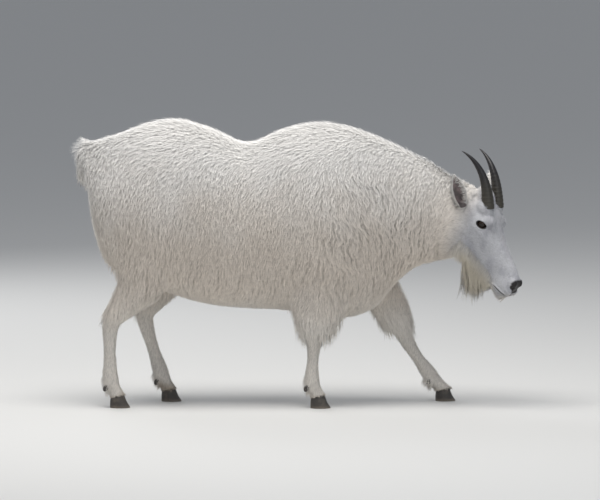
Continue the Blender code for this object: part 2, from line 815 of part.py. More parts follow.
def rooted(tree, start, way, lie, length, curl, rng, width=LOCK_WIDTH, flat=None):
    """A lock whose root is sunk where a ray meets the surface, or none if it misses."""
    place, normal, _, _ = tree.ray_cast(start, way)
    if place is None:
        return []
    lie = (lie + Vector([rng.uniform(-LOCK_SCATTER, LOCK_SCATTER) for _ in range(3)])).normalized()
    out = flat or normal
    out = (out - lie * out.dot(lie)).normalized()
    root = place - normal * LOCK_SUNK
    lie = (lie + normal * LOCK_LIFT).normalized()
    length *= rng.uniform(*LOCK_LENGTHS)
    return [lock(root, lie, out, length, curl * rng.uniform(*LOCK_CURLS), width)]


def leg_middle(name, z):
    """The middle of a leg at a height, and the way down it."""
    rows = curve_rows(LEGS[name], 3)
    for upper, lower in zip(rows, rows[1:]):
        if upper[2] >= z >= lower[2]:
            share = (upper[2] - z) / (upper[2] - lower[2])
            middle = Vector(upper[:3]).lerp(Vector(lower[:3]), share)
            return middle, (Vector(lower[:3]) - Vector(upper[:3])).normalized()
    raise ValueError(f"{name} has no part at {z}")


def leg_locks(leg, name, rng):
    """Long hair round a foreleg above the knee, or behind a thigh down to the hock."""
    tree = tree_of(leg)
    front = name.startswith("front")
    top, outward = leg_planes(name)[0]
    locks = []
    for row, (z, count, length) in enumerate(CHAPS if front else BREECHES):
        middle, down = leg_middle(name, z)
        lie = (down + Vector((0, 0, -1.0))).normalized()
        for i in range(count):
            if front:
                angle = 2 * math.pi * (i + 0.5 * row) / count
            else:
                angle = math.pi + BREECH_STEP * (i - (count - 1) / 2 + 0.25 * row)
            way = Vector((math.cos(angle), math.sin(angle), 0))
            inward = way.y * SIDES[name.split("_")[1]] < INWARD
            high = (middle + way * LEG_SURFACE - top).dot(outward) > -ROOT_MARGIN
            if high or (inward and z > THIGHS_MEET):
                continue
            locks += rooted(tree, middle + way * ROOT_SEARCH, -way, lie, length, LEG_LOCK_CURL, rng)
    return united(leg, locks, "MANIFOLD")


def beard_locks(head_piece, rng):
    """A thin beard that hangs from under the jaw."""
    tree = tree_of(head_piece)
    down = Vector((0, 0, -1))
    locks = []
    up, left = HEAD_TURN @ Vector((0, 0, 1)), HEAD_TURN @ Vector((0, 1, 0))
    for i in range(BEARD_ROWS):
        forward = BEARD_FIRST + BEARD_STEP * i
        for column in BEARD_COLUMNS[i % 2]:
            start = on_head(forward + BEARD_COLUMN_LEAD * column, BEARD_COLUMN_STEP * column, BEARD_BELOW)
            lie = (down + HEAD_TURN @ Vector((0, BEARD_SPLAY * column, 0))).normalized()
            length = (BEARD_LENGTH - BEARD_TAPER * forward) * (1.0 - BEARD_SHORTER * abs(column))
            locks += rooted(tree, start, up, lie, length, BEARD_CURL * column, rng, BEARD_WIDTH, left)
    return united(head_piece, locks, "MANIFOLD")


def tail_locks(tail_piece, rng):
    """Hair that hangs from the tail and stands off its root."""
    tree = tree_of(tail_piece)
    locks = []
    for x, z, length, lift in TAIL_ROWS:
        for angle in TAIL_ANGLES:
            way = Vector((-math.cos(angle) * 0.9, math.sin(angle), TAIL_ROOT_RISE)).normalized()
            lie = Vector((-0.6 * lift - 0.05, 0.10 * math.sin(angle), -1 + lift)).normalized()
            locks += rooted(tree, Vector((x, 0, z)) + way * 0.1, -way, lie, length, TAIL_CURL, rng)
    return united(tail_piece, locks, "MANIFOLD")


def head(rng):
    """The head with lids, nostrils, mouth and beard, and what stands in it."""
    skin = head_skin()
    point, back = head_cut()
    cut(skin, block("behind", [(point, -back)]), solver="MANIFOLD")
    thinned(largest_body(skin), HEAD_TRIANGLES)
    skin.name = "head"
    beard_locks(skin, rng)
    horns = [horn(f"horn_{word}", side) for word, side in SIDES.items()]
    ears = [ear(f"ear_{word}", side) for word, side in SIDES.items()]
    eyes = [eyeball(f"eye_{word}", side, EYE_RADIUS) for word, side in SIDES.items()]
    united(skin, [eyeball("lids", side, LID_RADIUS) for side in SIDES.values()], "MANIFOLD")
    for side in SIDES.values():
        cut(skin, lid_opening(side), nostril(side), solver="MANIFOLD")
    cut(skin, mouth(), solver="MANIFOLD")
    seat(skin, *eyes, *horns, *ears, solver="MANIFOLD")
    return largest_body(skin), horns, ears, eyes


def main():
    """Build every piece in order."""
    for old in list(bpy.data.objects):
        bpy.data.objects.remove(old)
    rng = random.Random(SEED)
    torso = thinned(body_skin(), BODY_TRIANGLES)
    torso.name = "torso"
    point, back = head_cut()
    above = (Vector((0, 0, HEAD_LOWEST)), Vector((0, 0, -1)))
    cut(torso, block("head_share", [(point + back * GAP, back), above]))
    largest_body(torso)
    coat = []
    horn_like = []
    for name in LEGS:
        leg_pieces, feet = leg(torso, name, rng)
        coat += leg_pieces
        horn_like += feet
    point, ahead = Vector(NECK_CUT[0]), Vector(NECK_CUT[1])
    neck = part_off(torso, "neck", [(point, -ahead)])
    tail_piece = tail("tail")
    seat(torso, tail_piece)
    tail_locks(tail_piece, rng)
    skull_piece, horns, ears, eyes = head(rng)
    seat(neck, *ears)
    coat += [torso, neck, tail_piece, skull_piece, *ears]
    finish("White coat", (0.80, 0.78, 0.74), 0.9, coat)
    finish("Black horn", (0.02, 0.02, 0.02), 0.45, horn_like + horns)
    finish("Dark eye", (0.015, 0.010, 0.008), 0.1, eyes)
    goat = bpy.data.collections.new("Mountain goat")
    bpy.context.scene.collection.children.link(goat)
    for piece in list(bpy.context.scene.collection.objects):
        bpy.context.scene.collection.objects.unlink(piece)
        goat.objects.link(piece)


if __name__ == "__main__":
    main()
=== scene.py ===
"""Looks of a life-size mountain goat in its short summer coat.

One skin stands for all the flesh. Short tufts follow the lie of the coat over it, and long
hair hangs from the jaw, the upper forelegs, the thighs and the tail. Horns, eyes, hooves and
dewclaws are pieces of their own. X runs from rump to nose, Y to the animal's left, Z up, in
metres, and the animal stands on the floor at Z = 0.
"""

import json
import logging
import math
from collections.abc import Sequence
from dataclasses import dataclass, field
from enum import Enum
from typing import TypeVar

import bmesh
import bpy
import numpy as np
from mathutils import Matrix, Vector
from mathutils.bvhtree import BVHTree

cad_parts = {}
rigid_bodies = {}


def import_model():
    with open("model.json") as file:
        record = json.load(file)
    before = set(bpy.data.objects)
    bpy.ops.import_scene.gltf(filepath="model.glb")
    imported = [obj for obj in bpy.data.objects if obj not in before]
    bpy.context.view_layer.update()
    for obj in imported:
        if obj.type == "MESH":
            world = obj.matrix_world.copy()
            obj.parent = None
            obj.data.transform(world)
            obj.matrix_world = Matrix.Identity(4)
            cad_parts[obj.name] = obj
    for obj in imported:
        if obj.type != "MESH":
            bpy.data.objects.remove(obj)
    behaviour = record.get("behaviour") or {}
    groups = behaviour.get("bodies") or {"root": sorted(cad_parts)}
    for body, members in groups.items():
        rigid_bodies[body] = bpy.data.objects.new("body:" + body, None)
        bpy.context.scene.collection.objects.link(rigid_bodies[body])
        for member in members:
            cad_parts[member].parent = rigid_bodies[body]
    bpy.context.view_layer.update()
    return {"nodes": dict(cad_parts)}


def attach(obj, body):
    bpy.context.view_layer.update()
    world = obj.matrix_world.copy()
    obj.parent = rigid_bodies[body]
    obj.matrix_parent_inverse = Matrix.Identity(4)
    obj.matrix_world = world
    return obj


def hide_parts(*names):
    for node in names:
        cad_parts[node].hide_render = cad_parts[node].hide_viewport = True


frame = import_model()

log = logging.getLogger("mountain_goat")

Row = tuple[float, ...]
Span = tuple[float, float]
Triple = tuple[float, float, float]
Colour = tuple[float, float, float]
Array = np.ndarray
Draws = np.random.Generator
Piece = bpy.types.Object
Mesh = bpy.types.Mesh
Material = bpy.types.Material
Socket = bpy.types.NodeSocket
Measure = TypeVar("Measure", Array, "Value")
BODY = "root"
BAKE_MAP = "OFBake"
HAIR_DATA = "hair"
FLESH = ("torso", "neck", "head", "tail", "ear", "leg")
HORN_ROOT: Triple = (-0.050, 0.029, 0.040)
UP = Vector((0, 0, 1))


class Side(Enum):
    """The animal's two sides, with the sign of Y on each."""

    LEFT = 1.0
    RIGHT = -1.0

    @property
    def word(self) -> str:
        """The side's name in lower case."""
        return self.name.lower()


class Slot(Enum):
    """Material slots of the record."""

    COAT = "white_coat"
    HORN = "black_horn"
    EYE = "dark_eye"
    HOOF = "dark_hoof"


@dataclass(frozen=True)
class HeadFrame:
    """Where the head is and which way it points.

    Its own axes are forward along the muzzle, left, and up out of the brow, measured from
    the point midway between the eyes.
    """

    midpoint: Triple = (0.618, -0.105, 0.5845)
    pitch: float = math.radians(50)
    yaw: float = math.radians(32)
    back_point: Triple = (-0.140, 0.0, 0.030)
    back_way: Triple = (-0.876, 0.0, -0.482)
    share_start: float = -0.075
    share_reach: float = 0.150
    floor: float = 0.33
    floor_reach: float = 0.05

    @property
    def ahead(self) -> Vector:
        """The level direction that the head faces."""
        return Vector((math.cos(self.yaw), -math.sin(self.yaw), 0))

    @property
    def axes(self) -> tuple[Vector, Vector, Vector]:
        """Muzzle, left and brow directions in the world."""
        left = Vector((math.sin(self.yaw), math.cos(self.yaw), 0))
        muzzle = self.ahead * math.cos(self.pitch) - UP * math.sin(self.pitch)
        brow = self.ahead * math.sin(self.pitch) + UP * math.cos(self.pitch)
        return muzzle, left, brow

    @property
    def turn(self) -> Matrix:
        """The rotation from head axes to the world."""
        return Matrix(self.axes).transposed()

    def point(self, forward: float, left: float, up: float) -> Vector:
        """A point given in head axes, in the world."""
        return Vector(self.midpoint) + self.turn @ Vector((forward, left, up))

    def on(self, side: Side, place: Triple) -> Vector:
        """A place given for the left side of the head, on either side, in the world."""
        forward, left, up = place
        return self.point(forward, side.value * left, up)

    def way(self, forward: float, left: float, up: float) -> Vector:
        """A direction given in head axes, in the world."""
        return (self.turn @ Vector((forward, left, up))).normalized()

    def local(self, points: Array) -> Array:
        """World points in head axes."""
        return (points - np.array(self.midpoint)) @ np.array(self.turn)

    @property
    def seam(self) -> tuple[Vector, Vector]:
        """A point of the plane where head and neck meet, and the way back from it."""
        return self.point(*self.back_point), self.way(*self.back_way)

    def ahead_of_seam(self, points: Array) -> Array:
        """How far each point lies ahead of the plane where head and neck meet."""
        middle, back = self.seam
        return -(points - np.array(middle)) @ np.array(back)

    def share(self, points: Array) -> Array:
        """How far each point belongs to the head, from 0 on the neck to 1 on the face."""
        ahead = ease((self.ahead_of_seam(points) - self.share_start) / self.share_reach)
        return ahead * ease((points[:, 2] - self.floor) / self.floor_reach)


HEAD = HeadFrame()


@dataclass(frozen=True)
class Muzzle:
    """Where nose leather, nostrils and lips lie, in head axes."""

    wing_low: float = -0.093
    wing_flare: float = 0.62
    lip_height: float = -0.1015
    lip_middle: float = 0.18
    lip_rise: float = 0.20
    nostril: Triple = (0.203, 0.0185, -0.057)

    def off_wing(self, aside: Measure, up: Measure) -> Measure:
        """How far a place lies outside the slanted edge of the nose leather."""
        return aside - (up - self.wing_low) * self.wing_flare

    def off_lips(self, forward: Measure, up: Measure) -> Measure:
        """How far a place lies above the line between the lips."""
        return up - self.lip_height - (forward - self.lip_middle) * self.lip_rise


MUZZLE = Muzzle()


def ease(values: Array) -> Array:
    """Smooth step from 0 to 1."""
    t = np.clip(values, 0.0, 1.0)
    return t * t * (3 - 2 * t)


def lengths_of(vectors: Array) -> Array:
    """The length of each row, never zero."""
    return np.maximum(np.linalg.norm(vectors, axis=1), 1e-9)


def unit(vectors: Array) -> Array:
    """Each row at length 1."""
    return vectors / lengths_of(vectors)[:, None]


def between(values: Array, low: float, high: float) -> Array:
    """Which values lie inside a span."""
    return (values > low) & (values < high)


def tossed(numbers: Array) -> Array:
    """A share from 0 to 1 for each whole number, always the same and without a pattern."""
    return np.modf(np.abs(np.sin(numbers * 12.9898) * 43758.5453))[0]


def raised(points: Array, rows: tuple[Row, ...]) -> Array:
    """Height of soft swellings that are alike on both sides of the middle.

    Args:
        points: Places on the skin.
        rows: For each swelling its forward, aside and up, its half sizes, and its height.

    Returns:
        The height at each point.
    """
    total = np.zeros(len(points))
    for forward, aside, up, long, wide, tall, rise in rows:
        spread = ((points[:, 0] - forward) / long) ** 2
        spread += ((np.abs(points[:, 1]) - aside) / wide) ** 2
        spread += ((points[:, 2] - up) / tall) ** 2
        total += rise * np.exp(-spread)
    return total


def with_neighbours(rows: list[Row]) -> list[tuple[Row, Row, Row]]:
    """Each row with the row before it and the row after it."""
    last = len(rows) - 1
    return [(rows[max(i - 1, 0)], row, rows[min(i + 1, last)]) for i, row in enumerate(rows)]


def curve_rows(rows: Sequence[Row], steps: int) -> list[Row]:
    """Rows of numbers joined by a smooth curve.

    Args:
        rows: The stations that the curve passes through.
        steps: How many rows each span is divided into.

    Returns:
        The rows along the curve, both ends included.
    """
    last = len(rows) - 1
    smooth: list[Row] = []
    for i in range(last):
        before, here = rows[max(i - 1, 0)], rows[i]
        after, beyond = rows[i + 1], rows[min(i + 2, last)]
        for k in range(steps):
            t = k / steps
            smooth.append(tuple(
                0.5 * (2 * b + (c - a) * t + (2 * a - 5 * b + 4 * c - d) * t * t
                       + (3 * b - a - 3 * c + d) * t * t * t)
                for a, b, c, d in zip(before, here, after, beyond)
            ))
    smooth.append(tuple(rows[last]))
    return smooth


class Modeller:
    """Operators and mesh steps that the pieces share."""

    block: float = 6.0

    @staticmethod
    def alone(piece: Piece) -> None:
        """Select one piece and nothing else."""
        bpy.ops.object.select_all(action="DESELECT")
        piece.select_set(True)
        bpy.context.view_layer.objects.active = piece

    @staticmethod
    def linked(name: str, data: bpy.types.ID) -> Piece:
        """Put a mesh, lamp or camera in the scene under a name."""
        piece = bpy.data.objects.new(name, data)
        bpy.context.scene.collection.objects.link(piece)
        return piece

    @classmethod
    def from_bmesh(cls, name: str, shape: bmesh.types.BMesh) -> Piece:
        """Turn a bmesh into an object whose faces point out."""
        shape.normal_update()
        bmesh.ops.recalc_face_normals(shape, faces=shape.faces)
        mesh = bpy.data.meshes.new(name)
        shape.to_mesh(mesh)
        shape.free()
        return cls.linked(name, mesh)

    @classmethod
    def loft(cls, name: str, rings: list[list[Vector]]) -> Piece:
        """A closed skin through sections with equal numbers of points.

        Args:
            name: The object's name.
            rings: The sections in order.

        Returns:
            The new object.
        """
        shape = bmesh.new()
        rows = [[shape.verts.new(point) for point in points] for points in rings]
        count = len(rows[0])
        for first, second in zip(rows, rows[1:]):
            for i in range(count):
                j = (i + 1) % count
                shape.faces.new((first[i], first[j], second[j], second[i]))
        shape.faces.new(rows[0])
        shape.faces.new(rows[-1])
        bmesh.ops.triangulate(shape, faces=[f for f in shape.faces if len(f.verts) > 4])
        return cls.from_bmesh(name, shape)

    @classmethod
    def ellipsoid(
        cls, name: str, centre: Vector, radii: Triple, turn: Matrix, segments: int = 32
    ) -> Piece:
        """A sphere primitive, stretched and turned in place.

        Args:
            name: The object's name.
            centre: Its middle.
            radii: Half sizes along its own axes.
            turn: The rotation of those axes.
            segments: Number of faces round it.

        Returns:
            The new object, at the origin with its place in its mesh.
        """
        bpy.ops.object.select_all(action="DESELECT")
        bpy.ops.mesh.primitive_uv_sphere_add(
            segments=segments, ring_count=segments // 2, radius=1.0,
            location=centre, rotation=turn.to_euler(), scale=radii,
        )
        piece = bpy.context.active_object
        piece.name = name
        bpy.ops.object.transform_apply(location=True, rotation=True, scale=True)
        return piece

    @classmethod
    def joined(cls, name: str, pieces: list[Piece]) -> Piece:
        """Several meshes in one object."""
        bpy.ops.object.select_all(action="DESELECT")
        for piece in pieces:
            piece.select_set(True)
        bpy.context.view_layer.objects.active = pieces[0]
        bpy.ops.object.join()
        pieces[0].name = name
        return pieces[0]

    @classmethod
    def apply(cls, piece: Piece, kind: str, **settings: object) -> None:
        """Add a modifier, set it and apply it."""
        cls.alone(piece)
        modifier = piece.modifiers.new(kind.title(), kind)
        for key, value in settings.items():
            setattr(modifier, key, value)
        bpy.ops.object.modifier_apply(modifier=modifier.name)

    @classmethod
    def fused(cls, piece: Piece, grain: float, rounds: int) -> None:
        """Grow overlapping shapes into one even skin with soft folds."""
        cls.apply(piece, "REMESH", mode="VOXEL", voxel_size=grain)
        cls.apply(piece, "SMOOTH", factor=0.5, iterations=rounds)

    @classmethod
    def combined(cls, piece: Piece, operation: str, other: Piece) -> None:
        """Cut or join with one other closed mesh, which is then dropped."""
        cls.apply(piece, "BOOLEAN", operation=operation, solver="MANIFOLD", object=other)
        bpy.data.objects.remove(other)

    @classmethod
    def keep_joined(cls, piece: Piece, near: Vector) -> None:
        """Drop everything that isn't joined to the vertex nearest a point."""
        points, _ = surface_points(piece.data)
        nearest = int(np.argmin(lengths_of(points - np.array(near))))
        cls.alone(piece)
        bpy.ops.object.mode_set(mode="EDIT")
        bpy.ops.mesh.select_all(action="DESELECT")
        bpy.ops.object.mode_set(mode="OBJECT")
        piece.data.vertices[nearest].select = True
        bpy.ops.object.mode_set(mode="EDIT")
        bpy.ops.mesh.select_linked()
        bpy.ops.mesh.select_all(action="INVERT")
        bpy.ops.mesh.delete(type="VERT")
        bpy.ops.object.mode_set(mode="OBJECT")

    @classmethod
    def half_space(cls, name: str, point: Vector, outward: Vector) -> Piece:
        """A big block behind a plane."""
        bpy.ops.object.select_all(action="DESELECT")
        bpy.ops.mesh.primitive_cube_add(size=cls.block, location=(0, 0, 0))
        piece = bpy.context.active_object
        piece.name = name
        bpy.ops.object.mode_set(mode="EDIT")
        bpy.ops.mesh.select_all(action="SELECT")
        bpy.ops.mesh.bisect(plane_co=point, plane_no=outward, use_fill=True, clear_outer=True)
        bpy.ops.object.mode_set(mode="OBJECT")
        return piece

    @staticmethod
    def wear(piece: Piece, *materials: Material) -> None:
        """Give a piece its materials."""
        piece.data.materials.clear()
        for material in materials:
            piece.data.materials.append(material)


def ring(
    centre: Vector,
    across: Vector,
    upward: Vector,
    half_across: float,
    half_up: float,
    narrowing: float = 0.0,
    count: int = 40,
) -> list[Vector]:
    """One oval section of a body that can be narrower at its top."""
    points = []
    for i in range(count):
        angle = 2 * math.pi * i / count
        reach = half_across * math.sin(angle) * (1 - narrowing * math.cos(angle))
        points.append(centre + across * reach + upward * (half_up * math.cos(angle)))
    return points


class Value:
    """A number socket that takes part in arithmetic."""

    def __init__(self, graph: "Graph", socket: Socket) -> None:
        """Wrap a socket of a graph."""
        self.graph = graph
        self.socket = socket

    def _with(self, operation: str, *operands: "Value | float", clamp: bool = False) -> "Value":
        """Add one Math node."""
        made = self.graph.node("ShaderNodeMath", {"operation": operation, "use_clamp": clamp},
                               dict(enumerate(operands)))
        return Value(self.graph, made.outputs[0])

    def __add__(self, other: "Value | float") -> "Value":
        """Sum."""
        return self._with("ADD", self, other)

    __radd__ = __add__

    def __sub__(self, other: "Value | float") -> "Value":
        """Difference."""
        return self._with("SUBTRACT", self, other)

    def __rsub__(self, other: float) -> "Value":
        """Difference from a number."""
        return self._with("SUBTRACT", other, self)

    def __mul__(self, other: "Value | float") -> "Value":
        """Product."""
        return self._with("MULTIPLY", self, other)

    __rmul__ = __mul__

    def __truediv__(self, other: "Value | float") -> "Value":
        """Quotient."""
        return self._with("DIVIDE", self, other)

    def __pow__(self, other: float) -> "Value":
        """Power."""
        return self._with("POWER", self, other)

    def size(self) -> "Value":
        """Absolute value."""
        return self._with("ABSOLUTE", self)

    def clamped(self) -> "Value":
        """The value held between 0 and 1."""
        return self._with("ADD", self, 0.0, clamp=True)

    def sine(self) -> "Value":
        """Sine of the value."""
        return self._with("SINE", self)

    def at_least(self, other: "Value | float") -> "Value":
        """The larger of two values."""
        return self._with("MAXIMUM", self, other)

    def rising(self, low: float, high: float) -> "Value":
        """Smooth step from 0 at one value to 1 at another."""
        made = self.graph.node(
            "ShaderNodeMapRange",
            {"interpolation_type": "SMOOTHSTEP"},
            {"Value": self, "From Min": low, "From Max": high},
        )
        return Value(self.graph, made.outputs["Result"])


class Graph:
    """The node graph of one material."""

    def __init__(self, name: str) -> None:
        """Start a material with its Principled shader."""
        self.material = bpy.data.materials.new(name)
        self.material.use_nodes = True
        self.tree = self.material.node_tree
        self.shader = self.tree.nodes["Principled BSDF"]

    def node(
        self, kind: str, settings: dict[str, object], sockets: dict[object, object]
    ) -> bpy.types.Node:
        """Add a node.

        Args:
            kind: The node's type.
            settings: Its properties, set first.
            sockets: Values or links for its inputs, by name or number.

        Returns:
            The new node.
        """
        made = self.tree.nodes.new(kind)
        for key, value in settings.items():
            setattr(made, key, value)
        for key, value in sockets.items():
            self.feed(made.inputs[key], value)
        return made

    def feed(self, socket: Socket, value: object) -> None:
        """Set a socket to a constant or link it."""
        if isinstance(value, Value):
            value = value.socket
        if isinstance(value, Socket):
            self.tree.links.new(value, socket)
        elif isinstance(value, tuple) and len(value) == 3 and socket.type == "RGBA":
            socket.default_value = (*value, 1.0)
        else:
            socket.default_value = value

    def set(self, **sockets: object) -> None:
        """Set inputs of the shader, with spaces as underscores."""
        for key, value in sockets.items():
            self.feed(self.shader.inputs[key.replace("_", " ")], value)

    def place(self) -> Socket:
        """The point on the piece, in object coordinates."""
        return self.node("ShaderNodeTexCoord", {}, {}).outputs["Object"]

    def vector(self, operation: str, first: Socket, second: Vector) -> bpy.types.Node:
        """Add one Vector Math node."""
        sockets = {0: first, 1: tuple(second)}
        return self.node("ShaderNodeVectorMath", {"operation": operation}, sockets)

    def along(self, point: Socket, origin: Vector, way: Vector) -> Value:
        """How far a point lies along a direction from an origin."""
        moved = self.vector("SUBTRACT", point, origin)
        return Value(self, self.vector("DOT_PRODUCT", moved.outputs[0], way).outputs["Value"])

    def from_point(self, point: Socket, centre: Vector) -> Value:
        """The distance from a centre."""
        return Value(self, self.vector("DISTANCE", point, centre).outputs["Value"])

    def stretched(self, point: Socket, scale: Triple) -> Socket:
        """The point with each axis scaled, for patterns with a grain."""
        made = self.node("ShaderNodeMapping", {}, {"Vector": point, "Scale": scale})
        return made.outputs["Vector"]

    def noise(self, point: Socket, scale: float, detail: float = 3.0) -> Value:
        """Soft noise round one half."""
        made = self.node(
            "ShaderNodeTexNoise", {}, {"Vector": point, "Scale": scale, "Detail": detail}
        )
        return Value(self, made.outputs["Fac"])

    def mix(self, share: Value | float, first: object, second: object) -> Socket:
        """A colour between two others."""
        made = self.node("ShaderNodeMix", {"data_type": "RGBA"}, {0: share, 6: first, 7: second})
        return made.outputs[2]

    def shaded(self, colour: object, amount: Value) -> Socket:
        """A colour made darker or lighter by a factor."""
        grey = self.node("ShaderNodeCombineColor", {},
                         {"Red": amount, "Green": amount, "Blue": amount})
        made = self.node("ShaderNodeMix", {"data_type": "RGBA", "blend_type": "MULTIPLY"},
                         {0: 1.0, 6: colour, 7: grey.outputs[0]})
        return made.outputs[2]

    def bump(self, height: Value, strength: float, distance: float) -> Socket:
        """A surface relief."""
        made = self.node("ShaderNodeBump", {},
                         {"Height": height, "Strength": strength, "Distance": distance})
        return made.outputs["Normal"]


@dataclass(frozen=True)
class CoatFinish:
    """Colours of skin and coat, which carry the same marks and the same painted light and shade."""

    # top and flank are partly the coat's own cream tone and partly painted light: the back lighter and
    # the sides darker, as if lit from above
    top: Colour = (0.94, 0.925, 0.895)
    flank: Colour = (0.87, 0.785, 0.69)
    # face and face_shade are painted shade: the face is darker and bluer than the body, as if turned
    # away from the light above
    face: Colour = (0.57, 0.575, 0.60)
    face_shade: Colour = (0.42, 0.42, 0.46)
    # crack is partly the coat's own deeper brown and partly painted shade inside the open partings
    crack: Colour = (0.19, 0.130, 0.088)
    low: Colour = (0.82, 0.775, 0.71)
    beard: Colour = (0.82, 0.75, 0.62)
    soil: Colour = (0.50, 0.43, 0.35)
    leather: Colour = (0.020, 0.018, 0.018)
    gland: Colour = (0.075, 0.065, 0.060)
    lining: tuple[Colour, Colour] = ((0.085, 0.070, 0.070), (0.20, 0.155, 0.15))
    roughness: float = 0.80
    lit_top_heights: Span = (0.46, 0.84)
    low_heights: Span = (0.42, 0.20)
    soil_heights: Span = (0.075, 0.030)
    face_start: Span = (-0.01, 0.07)
    face_heights: Span = (0.33, 0.38)
    chin_depths: Span = (-0.085, -0.150)
    chin_start: Span = (-0.02, 0.03)
    chin_end: Span = (0.19, 0.14)
    leather_start: Span = (0.189, 0.196)
    leather_edge: Span = (0.006, 0.001)
    leather_top: Span = (-0.032, -0.038)
    leather_foot: Span = (-0.104, -0.096)
    lip_edge: Span = (0.0030, 0.0012)
    lip_start: Span = (0.152, 0.166)
    nostril_edge: Span = (0.0130, 0.0095)
    gland_edge: Span = (0.026, 0.012)
    gland_place: Triple = (-0.076, 0.034, 0.050)
    lid_edge: Span = (1.55, 1.12)
    lid_front: Span = (0.004, 0.008)

    def marks_and_painted_light(self, graph: Graph, point: Socket) -> Socket:
        """The coat's colour at a point of the body, with painted light on the back and painted shade
        on the face.

        Args:
            graph: The material's graph.
            point: The object coordinates.

        Returns:
            The colour socket.
        """
        height = graph.along(point, Vector(), UP)
        patch = graph.noise(point, 7.0)
        uneven = height + (patch - 0.5) * 0.16
        # Painted light: the back turns lighter than the flanks, as if lit from above
        colour = graph.mix(uneven.rising(*self.lit_top_heights), self.flank, self.top)
        colour = graph.mix(uneven.rising(*self.low_heights), colour, self.low)
        colour = graph.mix(uneven.rising(*self.soil_heights), colour, self.soil)
        muzzle, _, brow = HEAD.axes
        origin, back = HEAD.seam
        ahead = graph.along(point, origin, -back)
        on_face = ahead.rising(*self.face_start) * height.rising(*self.face_heights)
        # Painted shade: the face takes a darker, bluer colour, with random patches of painted shadow
        face_shadow_patches = graph.noise(graph.stretched(point, (1.0, 1.0, 0.7)), 26.0, 3.0)
        shaded_face = graph.mix(face_shadow_patches.rising(0.42, 0.72) * 0.75, self.face, self.face_shade)
        colour = graph.mix(on_face, colour, shaded_face)
        under = graph.along(point, Vector(HEAD.midpoint), brow)
        forward = graph.along(point, Vector(HEAD.midpoint), muzzle)
        chin = under.rising(*self.chin_depths) * forward.rising(*self.chin_start)
        colour = graph.mix(chin * on_face * forward.rising(*self.chin_end), colour, self.beard)
        fine = graph.noise(point, 90.0, 2.0)
        return graph.shaded(colour, (fine - 0.5) * 0.30 + (patch - 0.5) * 0.10 + 1.0)

    def bare_parts(
        self, graph: Graph, point: Socket, colour: Socket
    ) -> tuple[Socket, Value]:
        """Nose leather, lips, lid rims and the scent glands.

        Args:
            graph: The material's graph.
            point: The object coordinates.
            colour: The coat's colour.

        Returns:
            The colour with the bare parts, and how bare the skin is.
        """
        muzzle, left, brow = HEAD.axes
        middle = Vector(HEAD.midpoint)
        forward = graph.along(point, middle, muzzle)
        aside = graph.along(point, middle, left).size()
        up = graph.along(point, middle, brow)
        wings = MUZZLE.off_wing(aside, up)
        nose = forward.rising(*self.leather_start) * wings.rising(*self.leather_edge)
        nose = nose * up.rising(*self.leather_top) * up.rising(*self.leather_foot)
        line = MUZZLE.off_lips(forward, up).size()
        lips = line.rising(*self.lip_edge) * forward.rising(*self.lip_start)
        bare = nose.at_least(lips * 0.8)
        for side in Side:
            bare = bare.at_least(self.lid_rim(graph, point, side))
            nostril = graph.from_point(point, HEAD.on(side, MUZZLE.nostril))
            bare = bare.at_least(nostril.rising(*self.nostril_edge))
        colour = graph.mix(bare, colour, self.leather)
        left_gland, right_gland = (
            graph.from_point(point, HEAD.on(side, self.gland_place)).rising(*self.gland_edge)
            for side in Side
        )
        return graph.mix(left_gland.at_least(right_gland), colour, self.gland), bare

    def lid_rim(self, graph: Graph, point: Socket, side: Side) -> Value:
        """The dark rim round the opening between the lids of one eye."""
        eyes = EyePair()
        centre = eyes.centre(side)
        across_way, up_way, out_way = eyes.axes(side)
        across = graph.along(point, centre, across_way) / eyes.opening[0]
        up = graph.along(point, centre, up_way) / eyes.opening[1]
        reach = across * across + up * up
        front = graph.along(point, centre, out_way).rising(*self.lid_front)
        return reach.rising(*self.lid_edge) * front

    def skin(self) -> Material:
        """The skin under the coat, dimmed with painted shade as if in the shadow of the hair."""
        graph = Graph("Skin")
        point = graph.place()
        # Painted shade: the skin is made darker than the hair over it
        hair_shade_on_skin = graph.noise(point, 160.0) * 0.3 + 0.62
        coat = graph.shaded(self.marks_and_painted_light(graph, point), hair_shade_on_skin)
        colour, bare = self.bare_parts(graph, point, coat)
        grain = graph.noise(point, 520.0, 4.0) + graph.noise(point, 150.0, 2.0) * 0.6
        graph.set(
            Base_Color=colour,
            Roughness=self.roughness - bare * 0.38,
            Normal=graph.bump(grain, 0.6, 0.0012),
            Specular_IOR_Level=0.30,
        )
        return graph.material

    def ear_lining(self) -> Material:
        """The dark, thinly haired inside of an ear."""
        graph = Graph("Ear_lining")
        point = graph.place()
        patch = graph.noise(point, 60.0)
        colour = graph.mix(patch.rising(0.35, 0.65), *self.lining)
        relief = graph.bump(graph.noise(point, 500.0), 0.5, 0.0008)
        graph.set(Base_Color=colour, Roughness=patch * 0.2 + 0.6, Normal=relief)
        return graph.material

    def coat(self, name: str, root_share: float, tint: float = 0.0) -> Material:
        """Hair, with painted shade at its roots, and dark in the partings, partly its own browner
        colour and partly painted shade.

        Args:
            name: The material's name.
            root_share: How much light is left at a root.
            tint: How far the hair leans to the colour of the beard.

        Returns:
            The material.
        """
        graph = Graph(name)
        point = graph.place()
        data = graph.node("ShaderNodeAttribute", {"attribute_name": HAIR_DATA}, {})
        split = graph.node("ShaderNodeSeparateColor", {}, {0: data.outputs["Color"]})
        along, shade, parting = (Value(graph, split.outputs[i]) for i in range(3))
        colour = self.marks_and_painted_light(graph, point)
        if tint:
            colour = graph.mix(tint, colour, self.beard)
        # Hair in a parting turns dark brown and is darkened again: partly its own colour, partly
        # painted shade in the crack
        colour = graph.mix(parting * 0.96, colour, self.crack)
